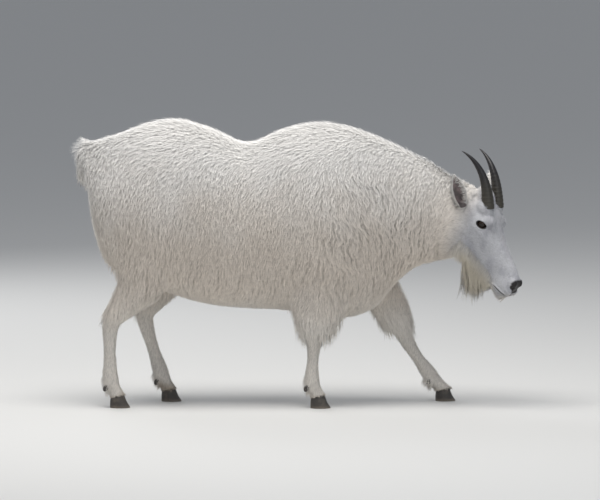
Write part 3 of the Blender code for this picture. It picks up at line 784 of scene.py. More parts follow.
        # Painted shade: each hair is darker towards its root, as if shadowed by the hair over it
        light = along.rising(0.0, 0.65) * (1 - root_share) + root_share
        light = light * (shade * 0.12 + 0.93) * (1 - parting * 0.55)
        streak = graph.noise(point, 700.0, 2.0)
        graph.set(
            Base_Color=graph.shaded(colour, light),
            Roughness=self.roughness - shade * 0.12,
            Normal=graph.bump(streak, 0.25, 0.0006),
        )
        graph.set(Specular_IOR_Level=0.22, Sheen_Weight=0.20, Sheen_Roughness=0.5)
        return graph.material


@dataclass(frozen=True)
class HornFinish:
    """Black horn, a little brown and green low down, with fine rings."""

    dark: Colour = (0.012, 0.011, 0.013)
    warm: Colour = (0.046, 0.041, 0.029)

    def material(self) -> Material:
        """The horns' material."""
        graph = Graph("Black_horn")
        point = graph.place()
        height = graph.along(point, HEAD.point(HORN_ROOT[0], 0, HORN_ROOT[2]), UP)
        wave = (height * 900.0 + graph.noise(point, 40.0) * 5.0).sine()
        low = height.rising(0.130, 0.0)
        streak = graph.noise(graph.stretched(point, (160.0, 160.0, 12.0)), 1.0, 4.0)
        tone = (low * 0.8 + (streak - 0.5) * 0.7).clamped()
        graph.set(
            Base_Color=graph.mix(tone, self.dark, self.warm),
            Roughness=(streak * 0.26 + 0.24 + low * 0.10).clamped(),
            Normal=graph.bump(wave * low * 0.35 + streak * 0.9, 0.5, 0.0009),
            Specular_IOR_Level=0.45,
        )
        return graph.material


@dataclass(frozen=True)
class EyeFinish:
    """A wet, dark brown eye with a level slot for its pupil."""

    iris: Colour = (0.016, 0.008, 0.0045)
    fleck: Colour = (0.034, 0.018, 0.009)
    rim: Colour = (0.005, 0.004, 0.004)
    pupil: Colour = (0.002, 0.002, 0.003)
    slot: Span = (0.0072, 0.0026)
    iris_radius: float = 0.0118

    def material(self, eyes: "EyePair", side: Side) -> Material:
        """The material of one eyeball."""
        graph = Graph(f"Dark_eye_{side.word}")
        point = graph.place()
        across_way, up_way, _ = eyes.axes(side)
        centre = eyes.centre(side)
        across = graph.along(point, centre, across_way)
        up = graph.along(point, centre, up_way)
        reach = (across * across + up * up) ** 0.5
        fibre = graph.noise(graph.stretched(point, (420.0, 420.0, 420.0)), 1.0)
        colour = graph.mix((fibre - 0.3) * 0.9, self.iris, self.fleck)
        colour = graph.mix(reach.rising(self.iris_radius * 0.86, self.iris_radius), colour, self.rim)
        slot = (across / self.slot[0]) ** 2.0 + (up / self.slot[1]) ** 2.0
        graph.set(Base_Color=graph.mix(slot.rising(1.25, 0.85), colour, self.pupil))
        graph.set(Roughness=0.12, Specular_IOR_Level=0.30)
        graph.set(Coat_Weight=0.22, Coat_Roughness=0.02)
        return graph.material


@dataclass(frozen=True)
class HoofFinish:
    """Worn dark hoof with faint growth rings and dusty edges."""

    dark: Colour = (0.045, 0.040, 0.036)
    dusty: Colour = (0.155, 0.132, 0.105)

    def material(self) -> Material:
        """The hooves' material."""
        graph = Graph("Dark_hoof")
        point = graph.place()
        height = graph.along(point, Vector(), UP)
        rings = (height * 1500.0 + graph.noise(point, 60.0) * 4.0).sine()
        patch = graph.noise(point, 45.0, 4.0)
        streak = graph.noise(graph.stretched(point, (260.0, 260.0, 30.0)), 1.0, 3.0)
        worn = (height.rising(0.012, 0.0) * 0.8 + patch.rising(0.45, 0.75) * 0.5).clamped()
        graph.set(
            Base_Color=graph.mix(worn, self.dark, self.dusty),
            Roughness=(patch * 0.35 + 0.42).clamped(),
            Normal=graph.bump(rings * 0.35 + streak, 0.5, 0.0008),
        )
        return graph.material


@dataclass(frozen=True)
class FloorFinish:
    """A plain pale floor."""

    colour: Colour = (0.62, 0.62, 0.61)

    def material(self) -> Material:
        """The floor's material."""
        graph = Graph("Pale_floor")
        graph.set(Base_Color=self.colour, Roughness=0.9, Specular_IOR_Level=0.1)
        return graph.material


@dataclass
class EyePair:
    """The eyeballs and the openings between the lids."""

    place: Triple = (-0.016, 0.0388, -0.006)
    radius: float = 0.0180
    lid_radius: float = 0.0213
    opening: Span = (0.0168, 0.0100)
    opening_sections: tuple[Row, ...] = ((0.004, 0.94), (0.017, 0.98), (0.045, 1.20))
    opening_points: int = 36
    corner_pinch: float = 0.30
    cornea_start: float = 0.72
    cornea_height: float = 0.0012

    def centre(self, side: Side) -> Vector:
        """The middle of one eyeball."""
        return HEAD.on(side, self.place)

    def axes(self, side: Side) -> tuple[Vector, Vector, Vector]:
        """Across the opening, up, and out of the head."""
        out = HEAD.way(0.34, side.value * 0.92, 0.10)
        across = HEAD.way(0.90, 0, 0.30).cross(out).cross(out).normalized()
        return across, out.cross(across), out

    def turn(self, side: Side) -> Matrix:
        """The rotation of one eye."""
        return Matrix(self.axes(side)).transposed()

    def lids(self) -> list[Piece]:
        """The rounds that the lids lie on."""
        radii = (self.lid_radius,) * 3
        return [Modeller.ellipsoid("lids", self.centre(side), radii, self.turn(side)) for side in Side]

    def cutter(self, side: Side) -> Piece:
        """The almond between the lids, as a block that points out of the head."""
        turn, centre = self.turn(side), self.centre(side)
        half_long, half_tall = self.opening
        rings = []
        for depth, spread in self.opening_sections:
            points = []
            for i in range(self.opening_points):
                angle = 2 * math.pi * i / self.opening_points
                across = half_long * spread * math.cos(angle)
                pinch = 1 - self.corner_pinch * abs(math.cos(angle)) ** 3
                tall = half_tall * spread * math.sin(angle) * pinch
                points.append(centre + turn @ Vector((across, tall, depth)))
            rings.append(points)
        return Modeller.loft("opening", rings)

    def build(self, finish: EyeFinish) -> list[Piece]:
        """Make both eyeballs, each with a slightly fuller cornea.

        Args:
            finish: The eyes' finish.

        Returns:
            The two eyeballs.
        """
        pieces = []
        for side in Side:
            centre, out = self.centre(side), self.axes(side)[2]
            radii = (self.radius,) * 3
            piece = Modeller.ellipsoid(f"eyeball_{side.word}", centre, radii, self.turn(side), 64)
            for vertex in piece.data.vertices:
                way = (vertex.co - centre).normalized()
                cornea = max(0.0, (way.dot(out) - self.cornea_start) / (1 - self.cornea_start))
                vertex.co += way * (self.cornea_height * cornea * cornea * (3 - 2 * cornea))
            piece.data.shade_smooth()
            Modeller.wear(piece, finish.material(self, side))
            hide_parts(f"eye_{side.word}")
            pieces.append(piece)
        return pieces


@dataclass
class HornPair:
    """Two slender horns that rise from the brow and sweep back."""

    length: float = 0.204
    radius: float = 0.0205
    tip_radius: float = 0.0007
    taper: float = 0.85
    oval: float = 1.06
    sweep: float = math.radians(63)
    bend: float = 1.6
    spread: float = 0.0504
    sunk: float = 0.013
    root_round: float = 0.007
    ringed_share: float = 0.62
    ring_count: int = 11
    ring_height: float = 0.030
    steps: int = 96
    around: int = 48

    def rings(self, side: Side) -> list[list[Vector]]:
        """The horn's sections, with ridges round its lower half.

        Args:
            side: Which horn.

        Returns:
            The sections from root to tip.
        """
        behind = -HEAD.ahead
        left = HEAD.axes[1]
        point = HEAD.on(side, HORN_ROOT) - UP * self.sunk
        whole = self.length + self.sunk
        made = []
        for i in range(self.steps + 1):
            t = i / self.steps
            angle = self.sweep * t ** self.bend
            lean = behind * math.sin(angle) + UP * math.cos(angle)
            outward = left * (side.value * self.spread / self.length * t)
            along = (lean + outward).normalized()
            radius = self.radius * (1 - t) ** self.taper + self.tip_radius
            low = max(0.0, 1 - t / self.ringed_share)
            wave = math.sin(2 * math.pi * self.ring_count * t / self.ringed_share)
            radius *= 1 + self.ring_height * low ** 0.5 * wave
            inside = max(0.0, 1 - t * whole / self.root_round)
            radius *= math.sqrt(1 - 0.85 * inside * inside)
            across = along.cross(behind).normalized()
            depth = across.cross(along)
            made.append(ring(point, across, depth, radius, radius * self.oval, count=self.around))
            point = point + along * (whole / self.steps)
        return made

    def build(self, finish: HornFinish) -> list[Piece]:
        """Make both horns.

        Args:
            finish: The horns' finish.

        Returns:
            The two horns.
        """
        material = finish.material()
        pieces = []
        for side in Side:
            piece = Modeller.loft(f"horn_sheath_{side.word}", self.rings(side))
            piece.data.shade_smooth()
            Modeller.wear(piece, material)
            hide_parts(f"horn_{side.word}")
            pieces.append(piece)
        return pieces


@dataclass
class EarPair:
    """Leaf-shaped cups, open to the side and a little ahead."""

    base: Triple = (-0.094, 0.060, -0.018)
    rise: Triple = (0.04, 0.52, 0.86)
    opens: Span = (0.60, 0.80)
    length: float = 0.126
    width: float = 0.0225
    wall: float = 0.0028
    half: int = 16
    lined_heights: Span = (0.02, 0.93)
    lined_width: float = 0.80
    profile: tuple[Row, ...] = (
        (-0.13, 0.40, 0.40), (0.00, 0.48, 0.48), (0.10, 0.66, 0.60), (0.24, 0.90, 0.64),
        (0.42, 1.00, 0.54), (0.60, 0.90, 0.44), (0.78, 0.61, 0.30), (0.92, 0.27, 0.16),
        (1.00, 0.06, 0.04),
    )

    def axes(self, side: Side) -> tuple[Vector, Vector, Vector]:
        """Along the ear, the way that it is open, and across it."""
        outward = HEAD.axes[1] * side.value
        forward, aside, lift = self.rise
        along = (HEAD.ahead * forward + outward * aside + UP * lift).normalized()
        facing = outward * self.opens[1] + HEAD.ahead * self.opens[0]
        facing = (facing - along * facing.dot(along)).normalized()
        return along, facing, along.cross(facing)

    def build(self, side: Side) -> Piece:
        """Make one ear, with its lining as a second material.

        Args:
            side: Which ear.

        Returns:
            The ear, ready to be joined to the skin.
        """
        along, facing, across = self.axes(side)
        root = HEAD.on(side, self.base)
        rings = []
        for t, width, depth in curve_rows(self.profile, 4):
            centre = root + along * (self.length * t)
            open_share = min(1.0, max(0.0, (t - 0.04) / 0.12))
            back, front = [], []
            for i in range(self.half + 1):
                angle = math.pi * i / self.half
                reach = across * (self.width * width * math.cos(angle))
                bulge = facing * (-self.width * depth * math.sin(angle))
                wall = facing * (self.wall * (0.35 + 0.65 * math.sin(angle)))
                back.append(centre + reach + bulge)
                closed = reach * 0.99 - bulge * 0.9 + facing * 0.0004
                cupped = reach * 0.93 + bulge + wall
                front.append(centre + closed.lerp(cupped, open_share))
            rings.append(back + front[::-1])
        piece = Modeller.loft(f"ear_{side.word}_cup", rings)
        heights, widths, _ = zip(*self.profile)
        low, high = self.lined_heights
        for face in piece.data.polygons:
            height = (face.center - root).dot(along) / self.length
            half = self.width * np.interp(height, heights, widths)
            aside = abs((face.center - root).dot(across)) / half
            inside = low < height < high and aside < self.lined_width
            face.material_index = 1 if inside and face.normal.dot(facing) > 0.0 else 2
        piece.data.shade_smooth()
        return piece


@dataclass
class Body:
    """The whole animal's form: trunk, neck, skull, limbs and tail as sections.

    A row of the trunk has the back line's x and z, the belly line's x and z, half width,
    shift to the left and how much narrower it is at its top. A row of the skull has forward,
    top, bottom, half width and narrowing, in head axes. A row of a leg has x, y, z, half
    depth and half width.
    """

    trunk: tuple[Row, ...] = (
        (-0.692, 0.790, -0.676, 0.700, 0.045, 0.000, 0.10),
        (-0.684, 0.822, -0.658, 0.575, 0.098, 0.000, 0.12),
        (-0.650, 0.852, -0.624, 0.465, 0.132, 0.000, 0.12),
        (-0.573, 0.877, -0.560, 0.412, 0.158, 0.000, 0.12),
        (-0.477, 0.912, -0.470, 0.376, 0.178, 0.000, 0.15),
        (-0.381, 0.922, -0.368, 0.340, 0.186, 0.000, 0.15),
        (-0.278, 0.893, -0.269, 0.318, 0.194, 0.000, 0.12),
        (-0.163, 0.849, -0.163, 0.308, 0.197, 0.000, 0.10),
        (-0.054, 0.890, -0.042, 0.302, 0.191, 0.000, 0.13),
        (0.042, 0.912, 0.067, 0.286, 0.180, 0.000, 0.18),
        (0.131, 0.906, 0.163, 0.279, 0.169, 0.000, 0.21),
        (0.214, 0.883, 0.246, 0.312, 0.153, -0.001, 0.20),
        (0.291, 0.851, 0.310, 0.382, 0.135, -0.004, 0.17),
        (0.365, 0.816, 0.374, 0.437, 0.116, -0.012, 0.18),
        (0.432, 0.784, 0.438, 0.459, 0.100, -0.022, 0.12),
        (0.487, 0.744, 0.478, 0.468, 0.086, -0.040, 0.10),
        (0.532, 0.729, 0.506, 0.484, 0.070, -0.062, 0.10),
        (0.577, 0.698, 0.540, 0.524, 0.052, -0.085, 0.05),
    )
    skull: tuple[Row, ...] = (
        (-0.130, 0.000, -0.110, 0.050, 0.00), (-0.098, 0.030, -0.128, 0.062, 0.00),
        (-0.055, 0.045, -0.146, 0.067, -0.10), (-0.010, 0.040, -0.154, 0.062, -0.20),
        (0.030, 0.018, -0.151, 0.054, -0.24), (0.070, 0.001, -0.145, 0.045, -0.24),
        (0.110, -0.009, -0.139, 0.039, -0.20), (0.150, -0.017, -0.137, 0.035, -0.12),
        (0.179, -0.027, -0.136, 0.033, -0.05), (0.199, -0.037, -0.131, 0.029, 0.00),
        (0.211, -0.056, -0.116, 0.018, 0.00),
    )
    legs: dict[str, list[Row]] = field(default_factory=lambda: {
        "front_right": [
            (0.147, -0.098, 0.556, 0.088, 0.045), (0.080, -0.112, 0.437, 0.102, 0.052),
            (0.064, -0.115, 0.360, 0.098, 0.050), (0.056, -0.115, 0.302, 0.084, 0.047),
            (0.050, -0.115, 0.262, 0.062, 0.042), (0.047, -0.115, 0.233, 0.036, 0.034),
            (0.047, -0.115, 0.200, 0.027, 0.027), (0.044, -0.115, 0.148, 0.022, 0.021),
            (0.041, -0.115, 0.092, 0.028, 0.027), (0.051, -0.115, 0.058, 0.025, 0.027),
            (0.066, -0.115, 0.022, 0.031, 0.032),
        ],
        "front_left": [
            (0.170, 0.098, 0.556, 0.085, 0.045), (0.219, 0.110, 0.440, 0.078, 0.052),
            (0.264, 0.112, 0.360, 0.069, 0.050), (0.290, 0.112, 0.312, 0.065, 0.047),
            (0.315, 0.112, 0.262, 0.054, 0.042), (0.332, 0.112, 0.226, 0.034, 0.034),
            (0.351, 0.112, 0.188, 0.027, 0.027), (0.381, 0.112, 0.141, 0.022, 0.021),
            (0.414, 0.112, 0.094, 0.028, 0.027), (0.445, 0.112, 0.056, 0.025, 0.027),
            (0.476, 0.112, 0.020, 0.031, 0.032),
        ],
        "hind_right": [
            (-0.530, -0.086, 0.640, 0.125, 0.065), (-0.490, -0.095, 0.505, 0.118, 0.066),
            (-0.500, -0.100, 0.408, 0.086, 0.052), (-0.551, -0.101, 0.340, 0.056, 0.039),
            (-0.594, -0.101, 0.288, 0.037, 0.029), (-0.603, -0.101, 0.243, 0.028, 0.025),
            (-0.604, -0.101, 0.169, 0.023, 0.022), (-0.602, -0.101, 0.097, 0.029, 0.027),
            (-0.590, -0.101, 0.060, 0.025, 0.027), (-0.574, -0.101, 0.022, 0.031, 0.032),
        ],
        "hind_left": [
            (-0.520, 0.086, 0.640, 0.125, 0.065), (-0.455, 0.095, 0.505, 0.118, 0.066),
            (-0.440, 0.100, 0.408, 0.086, 0.052), (-0.468, 0.101, 0.340, 0.056, 0.039),
            (-0.494, 0.101, 0.290, 0.037, 0.029), (-0.490, 0.101, 0.243, 0.028, 0.025),
            (-0.468, 0.101, 0.169, 0.023, 0.022), (-0.446, 0.101, 0.099, 0.029, 0.027),
            (-0.430, 0.101, 0.060, 0.025, 0.027), (-0.412, 0.101, 0.022, 0.031, 0.032),
        ],
    })
    tail: tuple[Row, ...] = (
        (-0.625, 0.838, 0.020, 0.016), (-0.660, 0.836, 0.026, 0.017),
        (-0.684, 0.820, 0.028, 0.017), (-0.697, 0.792, 0.026, 0.015),
        (-0.701, 0.760, 0.020, 0.012), (-0.699, 0.730, 0.010, 0.007),
    )
    swells: tuple[Row, ...] = (
        (0.120, 0.160, 0.620, 0.110, 0.120, 0.170, 0.020),
        (0.070, 0.160, 0.440, 0.080, 0.080, 0.090, 0.012),
        (-0.560, 0.150, 0.600, 0.120, 0.120, 0.170, 0.016),
        (-0.450, 0.160, 0.470, 0.075, 0.080, 0.090, 0.012),
        (-0.180, 0.180, 0.420, 0.180, 0.120, 0.080, 0.008),
    )
    coronet_height: float = 0.036
    coronet_pitch: float = math.radians(-10)
    foot_ahead: float = 0.002
    heel_back: float = 0.027
    heel_height: float = 0.064
    neck_row: int = 13
    steps: int = 4

    def trunk_form(self, first: int = 0) -> Piece:
        """Rump, barrel, chest and neck, from one section on."""
        rings = []
        for before, row, after in with_neighbours(curve_rows(self.trunk[first:], self.steps)):
            bx, bz, ux, uz, half, shift, narrowing = row
            course = Vector((after[0] + after[2] - before[0] - before[2],
                             2 * (after[5] - before[5]), 0))
            across = UP.cross(course).normalized()
            top, bottom = Vector((bx, shift, bz)), Vector((ux, shift, uz))
            upward = (top - bottom) / 2
            rings.append(ring((top + bottom) / 2, across, upward.normalized(), half,
                              upward.length, narrowing))
        return Modeller.loft("trunk", rings)

    def limb_form(self, name: str) -> Piece:
        """One leg round its middle line."""
        across = Vector((0, 1, 0))
        rings = []
        for before, row, after in with_neighbours(curve_rows(self.legs[name], self.steps)):
            x, y, z, depth, width = row
            along = (Vector(after[:3]) - Vector(before[:3])).normalized()
            forward = across.cross(along).normalized()
            rings.append(ring(Vector((x, y, z)), across, forward, width, depth, count=32))
        return Modeller.loft(name, rings)

    def skull_form(self) -> Piece:
        """The head from behind the ears to the lips."""
        _, left, up = HEAD.axes
        rings = []
        for forward, top, bottom, half, narrowing in curve_rows(self.skull, self.steps):
            centre = HEAD.point(forward, 0, (top + bottom) / 2)
            rings.append(ring(centre, left, up, half, (top - bottom) / 2, narrowing))
        return Modeller.loft("skull", rings)

    def tail_form(self) -> Piece:
        """The short tail on the corner of the rump."""
        across = Vector((0, 1, 0))
        rings = []
        for before, row, after in with_neighbours(curve_rows(self.tail, self.steps)):
            x, z, half_across, half_up = row
            along = Vector((after[0] - before[0], 0, after[1] - before[1])).normalized()
            rings.append(ring(Vector((x, 0, z)), across, along.cross(across), half_across,
                              half_up, count=20))
        return Modeller.loft("tail_form", rings)

    def foot(self, name: str) -> Vector:
        """The middle of a foot on the floor."""
        (px, y, pz, _, _), (ex, _, ez, _, _) = self.legs[name][-2:]
        share = (pz - self.coronet_height) / (pz - ez)
        return Vector((px + (ex - px) * share + self.foot_ahead, y, 0))

    def heel(self, name: str) -> Vector:
        """Where the dewclaws grow behind a pastern."""
        px, y = self.legs[name][-2][:2]
        return Vector((px - self.heel_back, y, self.heel_height))

    def leg_at(self, name: str, heights: Array) -> tuple[Array, Array]:
        """Middle x and half depth of a leg at each height."""
        middle, _, level, depth, _ = np.array(self.legs[name])[::-1].T
        return np.interp(heights, level, middle), np.interp(heights, level, depth)


@dataclass
class Hooves:
    """Cloven hooves of two toes each, and the dewclaws over them."""

    body: Body
    length: float = 0.064
    width: float = 0.029
    cleft: float = 0.0016
    bow: float = 0.8
    slope_start: float = 0.020
    slope_reach: float = 0.0157
    flat_steps: int = 8
    bow_steps: int = 24
    sharp: float = math.radians(48)
    claw: Triple = (0.0080, 0.0070, 0.0120)
    claw_apart: float = 0.0155
    claw_tilt: float = math.radians(28)
    levels: tuple[Row, ...] = (
        (0.0, -0.392, 0.585, 0.985), (0.0022, -0.400, 0.598, 1.0), (0.016, -0.400, 0.46, 1.0),
        (0.029, -0.385, 0.36, 0.95), (0.0357, -0.37, 0.31, 0.90),
    )

    def toe(self, name: str, foot: Vector, side: float) -> Piece:
        """One half of a cloven hoof, flat on the floor.

        Args:
            name: The object's name.
            foot: The middle of the foot on the floor.
            side: The sign of Y on which this toe lies.

        Returns:
            The toe.
        """
        tilt = math.tan(self.body.coronet_pitch)
        rings = []
        for height, heel, tip, width in curve_rows(self.levels, 4):
            start, reach = heel * self.length, (tip - heel) * self.length
            points = [(start + reach * k / self.flat_steps, self.cleft / 2)
                      for k in range(self.flat_steps + 1)]
            for i in range(1, self.bow_steps):
                angle = math.pi * i / self.bow_steps
                x = self.length * ((heel + tip) / 2 + (tip - heel) / 2 * math.cos(angle))
                bow = math.sin(angle) ** self.bow
                points.append((x, self.cleft / 2 + self.width * width * bow))
            top_share = max(0.0, (height - self.slope_start) / self.slope_reach)
            rings.append([
                foot + Vector((x, side * y, max(0.0, height) - tilt * x * top_share))
                for x, y in points
            ])
        return Modeller.loft(name, rings)

    def build(self, finish: HoofFinish) -> list[Piece]:
        """Make all eight toes and eight dewclaws.

        Args:
            finish: The hooves' finish.

        Returns:
            The pieces.
        """
        material = finish.material()
        pieces = []
        for name in self.body.legs:
            foot, heel = self.body.foot(name), self.body.heel(name)
            for side in Side:
                word = "outer" if side.word == name.split("_")[1] else "inner"
                toe = self.toe(f"toe_{name}_{word}", foot, side.value)
                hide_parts(f"hoof_{name}_{word}")
                turn = Matrix.Rotation(self.claw_tilt, 3, "Y")
                middle = heel + Vector((0, side.value * self.claw_apart, 0))
                claw = Modeller.ellipsoid(f"claw_{name}_{word}", middle, self.claw, turn, 24)
                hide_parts(f"dewclaw_{name}_{word}")
                pieces += [toe, claw]
        for piece in pieces:
            piece.data.shade_smooth()
            piece.data.set_sharp_from_angle(angle=self.sharp)
            Modeller.wear(piece, material)
        return pieces


@dataclass
class Skin:
    """One skin for all the flesh, inside the solids by the depth of the coat."""

    body: Body
    eyes: EyePair
    ears: EarPair
    body_grain: float = 0.007
    head_grain: float = 0.0024
    depth_body: float = 0.013
    depth_leg: float = 0.0045
    depth_face: float = 0.0034
    depth_tail: float = 0.006
    depth_nose: float = 0.60
    leg_top: float = 0.40
    leg_fade: float = 0.16
    tail_start: Span = (-0.668, 0.71)
    tail_fade: float = 0.02
    bare_round_eye: Span = (0.0195, 0.018)
    bare_at_lips: Span = (0.001, 0.008)
    seam_reach: float = 0.022
    head_floor: float = 0.40
    chin: tuple[Triple, Triple] = ((0.186, 0, -0.122), (0.028, 0.019, 0.017))
    crown: tuple[Triple, Triple] = ((-0.086, 0, 0.040), (0.038, 0.036, 0.026))
    slot_place: Triple = (0.2030, 0.0172, -0.058)
    slot_radii: Triple = (0.0098, 0.0034, 0.0062)
    slot_slant: float = math.radians(28)
    slot_pitch: float = math.radians(42)
    mouth_line: tuple[Row, ...] = (
        (0.150, -0.1110), (0.168, -0.1075), (0.185, -0.1040), (0.203, -0.0985), (0.240, -0.0960),
    )
    mouth_half: Span = (0.0003, 0.0005)
    mouth_width: float = 0.05
    face_forms: tuple[Row, ...] = (
        (-0.016, 0.040, 0.022, 0.020, 0.020, 0.010, 0.0024),
        (0.004, 0.042, -0.026, 0.032, 0.020, 0.008, 0.0026),
        (0.046, 0.040, -0.056, 0.036, 0.020, 0.019, -0.0036),
        (-0.018, 0.048, -0.088, 0.034, 0.022, 0.028, 0.0030),
        (0.090, 0.023, -0.012, 0.060, 0.009, 0.010, 0.0018),
        (0.145, 0.030, -0.062, 0.028, 0.020, 0.022, -0.0022),
        (0.186, 0.026, -0.078, 0.020, 0.016, 0.018, 0.0022),
    )
    masses: tuple[tuple[Row, Row], ...] = (
        ((-0.010, 0.030, 0.010), (0.034, 0.025, 0.024)),
        ((-0.020, 0.034, -0.085), (0.060, 0.024, 0.055)),
        ((0.191, 0.016, -0.052), (0.020, 0.015, 0.018)),
        ((0.188, 0.017, -0.084), (0.032, 0.015, 0.020)),
        ((-0.050, 0.027, 0.026), (0.036, 0.030, 0.030)),
        ((-0.094, 0.047, -0.018), (0.021, 0.016, 0.023)),
    )

    def head_masses(self) -> list[Piece]:
        """Brows, cheeks, nose wings, lips, chin and the roots of horns and ears."""
        forms = [(HEAD.on(side, place), radii) for place, radii in self.masses for side in Side]
        forms += [(HEAD.point(*place), radii) for place, radii in (self.chin, self.crown)]
        return [Modeller.ellipsoid("mass", centre, radii, HEAD.turn) for centre, radii in forms]

    def nostril(self, side: Side) -> Piece:
        """A slanted slot in the side of the nose."""
        centre = HEAD.on(side, self.slot_place)
        slant = Matrix.Rotation(self.slot_slant * side.value, 3, "X")
        pitch = Matrix.Rotation(self.slot_pitch, 3, "Y")
        return Modeller.ellipsoid("nostril", centre, self.slot_radii, HEAD.turn @ pitch @ slant)

    def mouth(self) -> Piece:
        """The line between the lips, from the corners round the muzzle."""
        rings = []
        wide = self.mouth_width
        corner, growth = self.mouth_half
        for forward, up in curve_rows(self.mouth_line, 3):
            half = corner + growth * min(1.0, max(0.0, (forward - 0.155) / 0.02))
            corners = [(wide, half), (-wide, half), (-wide, -half), (wide, -half)]
            rings.append([HEAD.point(forward, left, up + lift) for left, lift in corners])
        return Modeller.loft("mouth", rings)

    def head(self) -> Piece:
        """The head as one fine skin with lids, nostrils and mouth."""
        neck = self.body.trunk_form(first=self.body.neck_row)
        piece = Modeller.joined("head_skin", [neck, self.body.skull_form(), *self.head_masses()])
        Modeller.fused(piece, self.head_grain, 14)
        for lid in self.eyes.lids():
            Modeller.combined(piece, "UNION", lid)
        for side in Side:
            Modeller.combined(piece, "DIFFERENCE", self.eyes.cutter(side))
            Modeller.combined(piece, "DIFFERENCE", self.nostril(side))
        Modeller.fused(piece, self.head_grain, 3)
        Modeller.combined(piece, "DIFFERENCE", self.mouth())
        Modeller.keep_joined(piece, HEAD.point(0, 0, 0))
        start, back = HEAD.seam
        behind = Modeller.half_space("behind", start + back * 0.003, -back)
        Modeller.combined(piece, "DIFFERENCE", behind)
        return piece

    def trunk_and_limbs(self) -> Piece:
        """Everything behind the head, with muscles and belly raised."""
        forms = [self.body.trunk_form(), self.body.skull_form(), self.body.tail_form()]
        forms += [self.body.limb_form(name) for name in self.body.legs]
        piece = Modeller.joined("skin", forms)
        Modeller.fused(piece, self.body_grain, 10)
        points, normals = surface_points(piece.data)
        height = raised(points, self.body.swells)
        write_points(piece.data, points + normals * height[:, None])
        ahead = Modeller.half_space("ahead", *HEAD.seam)
        low = Modeller.half_space("low", UP * self.head_floor, UP)
        Modeller.combined(ahead, "DIFFERENCE", low)
        Modeller.combined(piece, "DIFFERENCE", ahead)
        return piece

    def shape(self) -> Piece:
        """The closed skin, still at the solids' own surface."""
        piece = self.trunk_and_limbs()
        Modeller.combined(piece, "UNION", self.head())
        self.soften_seam(piece)
        tilt = self.body.coronet_pitch
        outward = Vector((math.sin(tilt), 0, math.cos(tilt)))
        for name in self.body.legs:
            point = self.body.foot(name) + Vector((0, 0, self.body.coronet_height + 0.001))
            sole = Modeller.half_space("sole", point, outward)
            near = Modeller.ellipsoid("near", point, (0.09, 0.055, 0.05), Matrix.Identity(3), 16)
            Modeller.combined(near, "INTERSECT", sole)
            Modeller.combined(piece, "DIFFERENCE", near)
        return piece

    def soften_seam(self, piece: Piece) -> None:
        """Smooth the skin where head and neck meet."""
        points, _ = surface_points(piece.data)
        away = np.abs(HEAD.ahead_of_seam(points))
        weights = (1 - ease(away / self.seam_reach)) * (points[:, 2] > self.head_floor)
        group = piece.vertex_groups.new(name="seam")
        for index in np.nonzero(weights > 0)[0].tolist():
            group.add([index], float(weights[index]), "REPLACE")
        Modeller.apply(piece, "SMOOTH", factor=0.7, iterations=40, vertex_group="seam")
        piece.vertex_groups.clear()

    def depth(self, points: Array) -> Array:
        """How deep the coat is at each point."""
        head = HEAD.share(points)
        forward, _, up = HEAD.local(points).T
        low = ease((self.leg_top - points[:, 2]) / self.leg_fade)
        depth = self.depth_body * (1 - low) + self.depth_leg * low
        start, floor = self.tail_start
        tail = ease((start - points[:, 0]) / self.tail_fade)
        tail *= ease((points[:, 2] - floor) / self.tail_fade)
        depth = depth * (1 - tail) + self.depth_tail * tail
        near_nose = ease((forward - 0.12) / 0.05)
        face = self.depth_face * (1 - (1 - self.depth_nose) * near_nose)
        depth = depth * (1 - head) + face * head
        rim, reach = self.bare_round_eye
        for side in Side:
            away = lengths_of(points - np.array(self.eyes.centre(side)))
            depth *= ease((away - rim) / reach)
        edge, reach = self.bare_at_lips
        from_lips = np.abs(MUZZLE.off_lips(forward, up))
        lips = ease((forward - 0.145) / 0.012) * head
        return depth * (1 - lips * (1 - ease((from_lips - edge) / reach)))

    def build(self, finish: CoatFinish) -> Piece:
        """Make the skin, sink it under the coat and add the ears.

        Args:
            finish: The coat's finish.

        Returns:
            The skin.
        """
        piece = self.shape()
        points, normals = surface_points(piece.data)
        depth = self.depth(points) - raised(HEAD.local(points), self.face_forms)
        write_points(piece.data, points - normals * depth[:, None])
        self.soften_seam(piece)
        piece.data.shade_smooth()
        hide = finish.skin()
        Modeller.wear(piece, hide, finish.ear_lining(), hide)
        cups = [self.ears.build(side) for side in Side]
        for cup in cups:
            for material in piece.data.materials:
                cup.data.materials.append(material)
        piece = Modeller.joined("skin", [piece, *cups])
        names = [name for name in frame["nodes"] if name.split("_")[0] in FLESH]
        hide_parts(*names)
        return piece


def read(items: bpy.types.bpy_prop_collection, name: str, width: int, kind: type = float) -> Array:
    """One property of every item, a row for each."""
    values = np.zeros(len(items) * width, kind)
    items.foreach_get(name, values)
    return values.reshape(-1, width)


def surface_points(mesh: Mesh) -> tuple[Array, Array]:
    """Vertex places and normals of a mesh as arrays."""
    return read(mesh.vertices, "co", 3), read(mesh.vertices, "normal", 3)


def write_points(mesh: Mesh, points: Array) -> None:
    """Move a mesh's vertices."""
    mesh.vertices.foreach_set("co", points.ravel())
    mesh.update()


@dataclass
class Roots:
    """Places on the skin from which hair grows."""

    points: Array
    normals: Array
    lining: Array
    ear: Array

    def kept(self, mask: Array) -> "Roots":
        """Only some of the roots."""
        return Roots(self.points[mask], self.normals[mask], self.lining[mask], self.ear[mask])


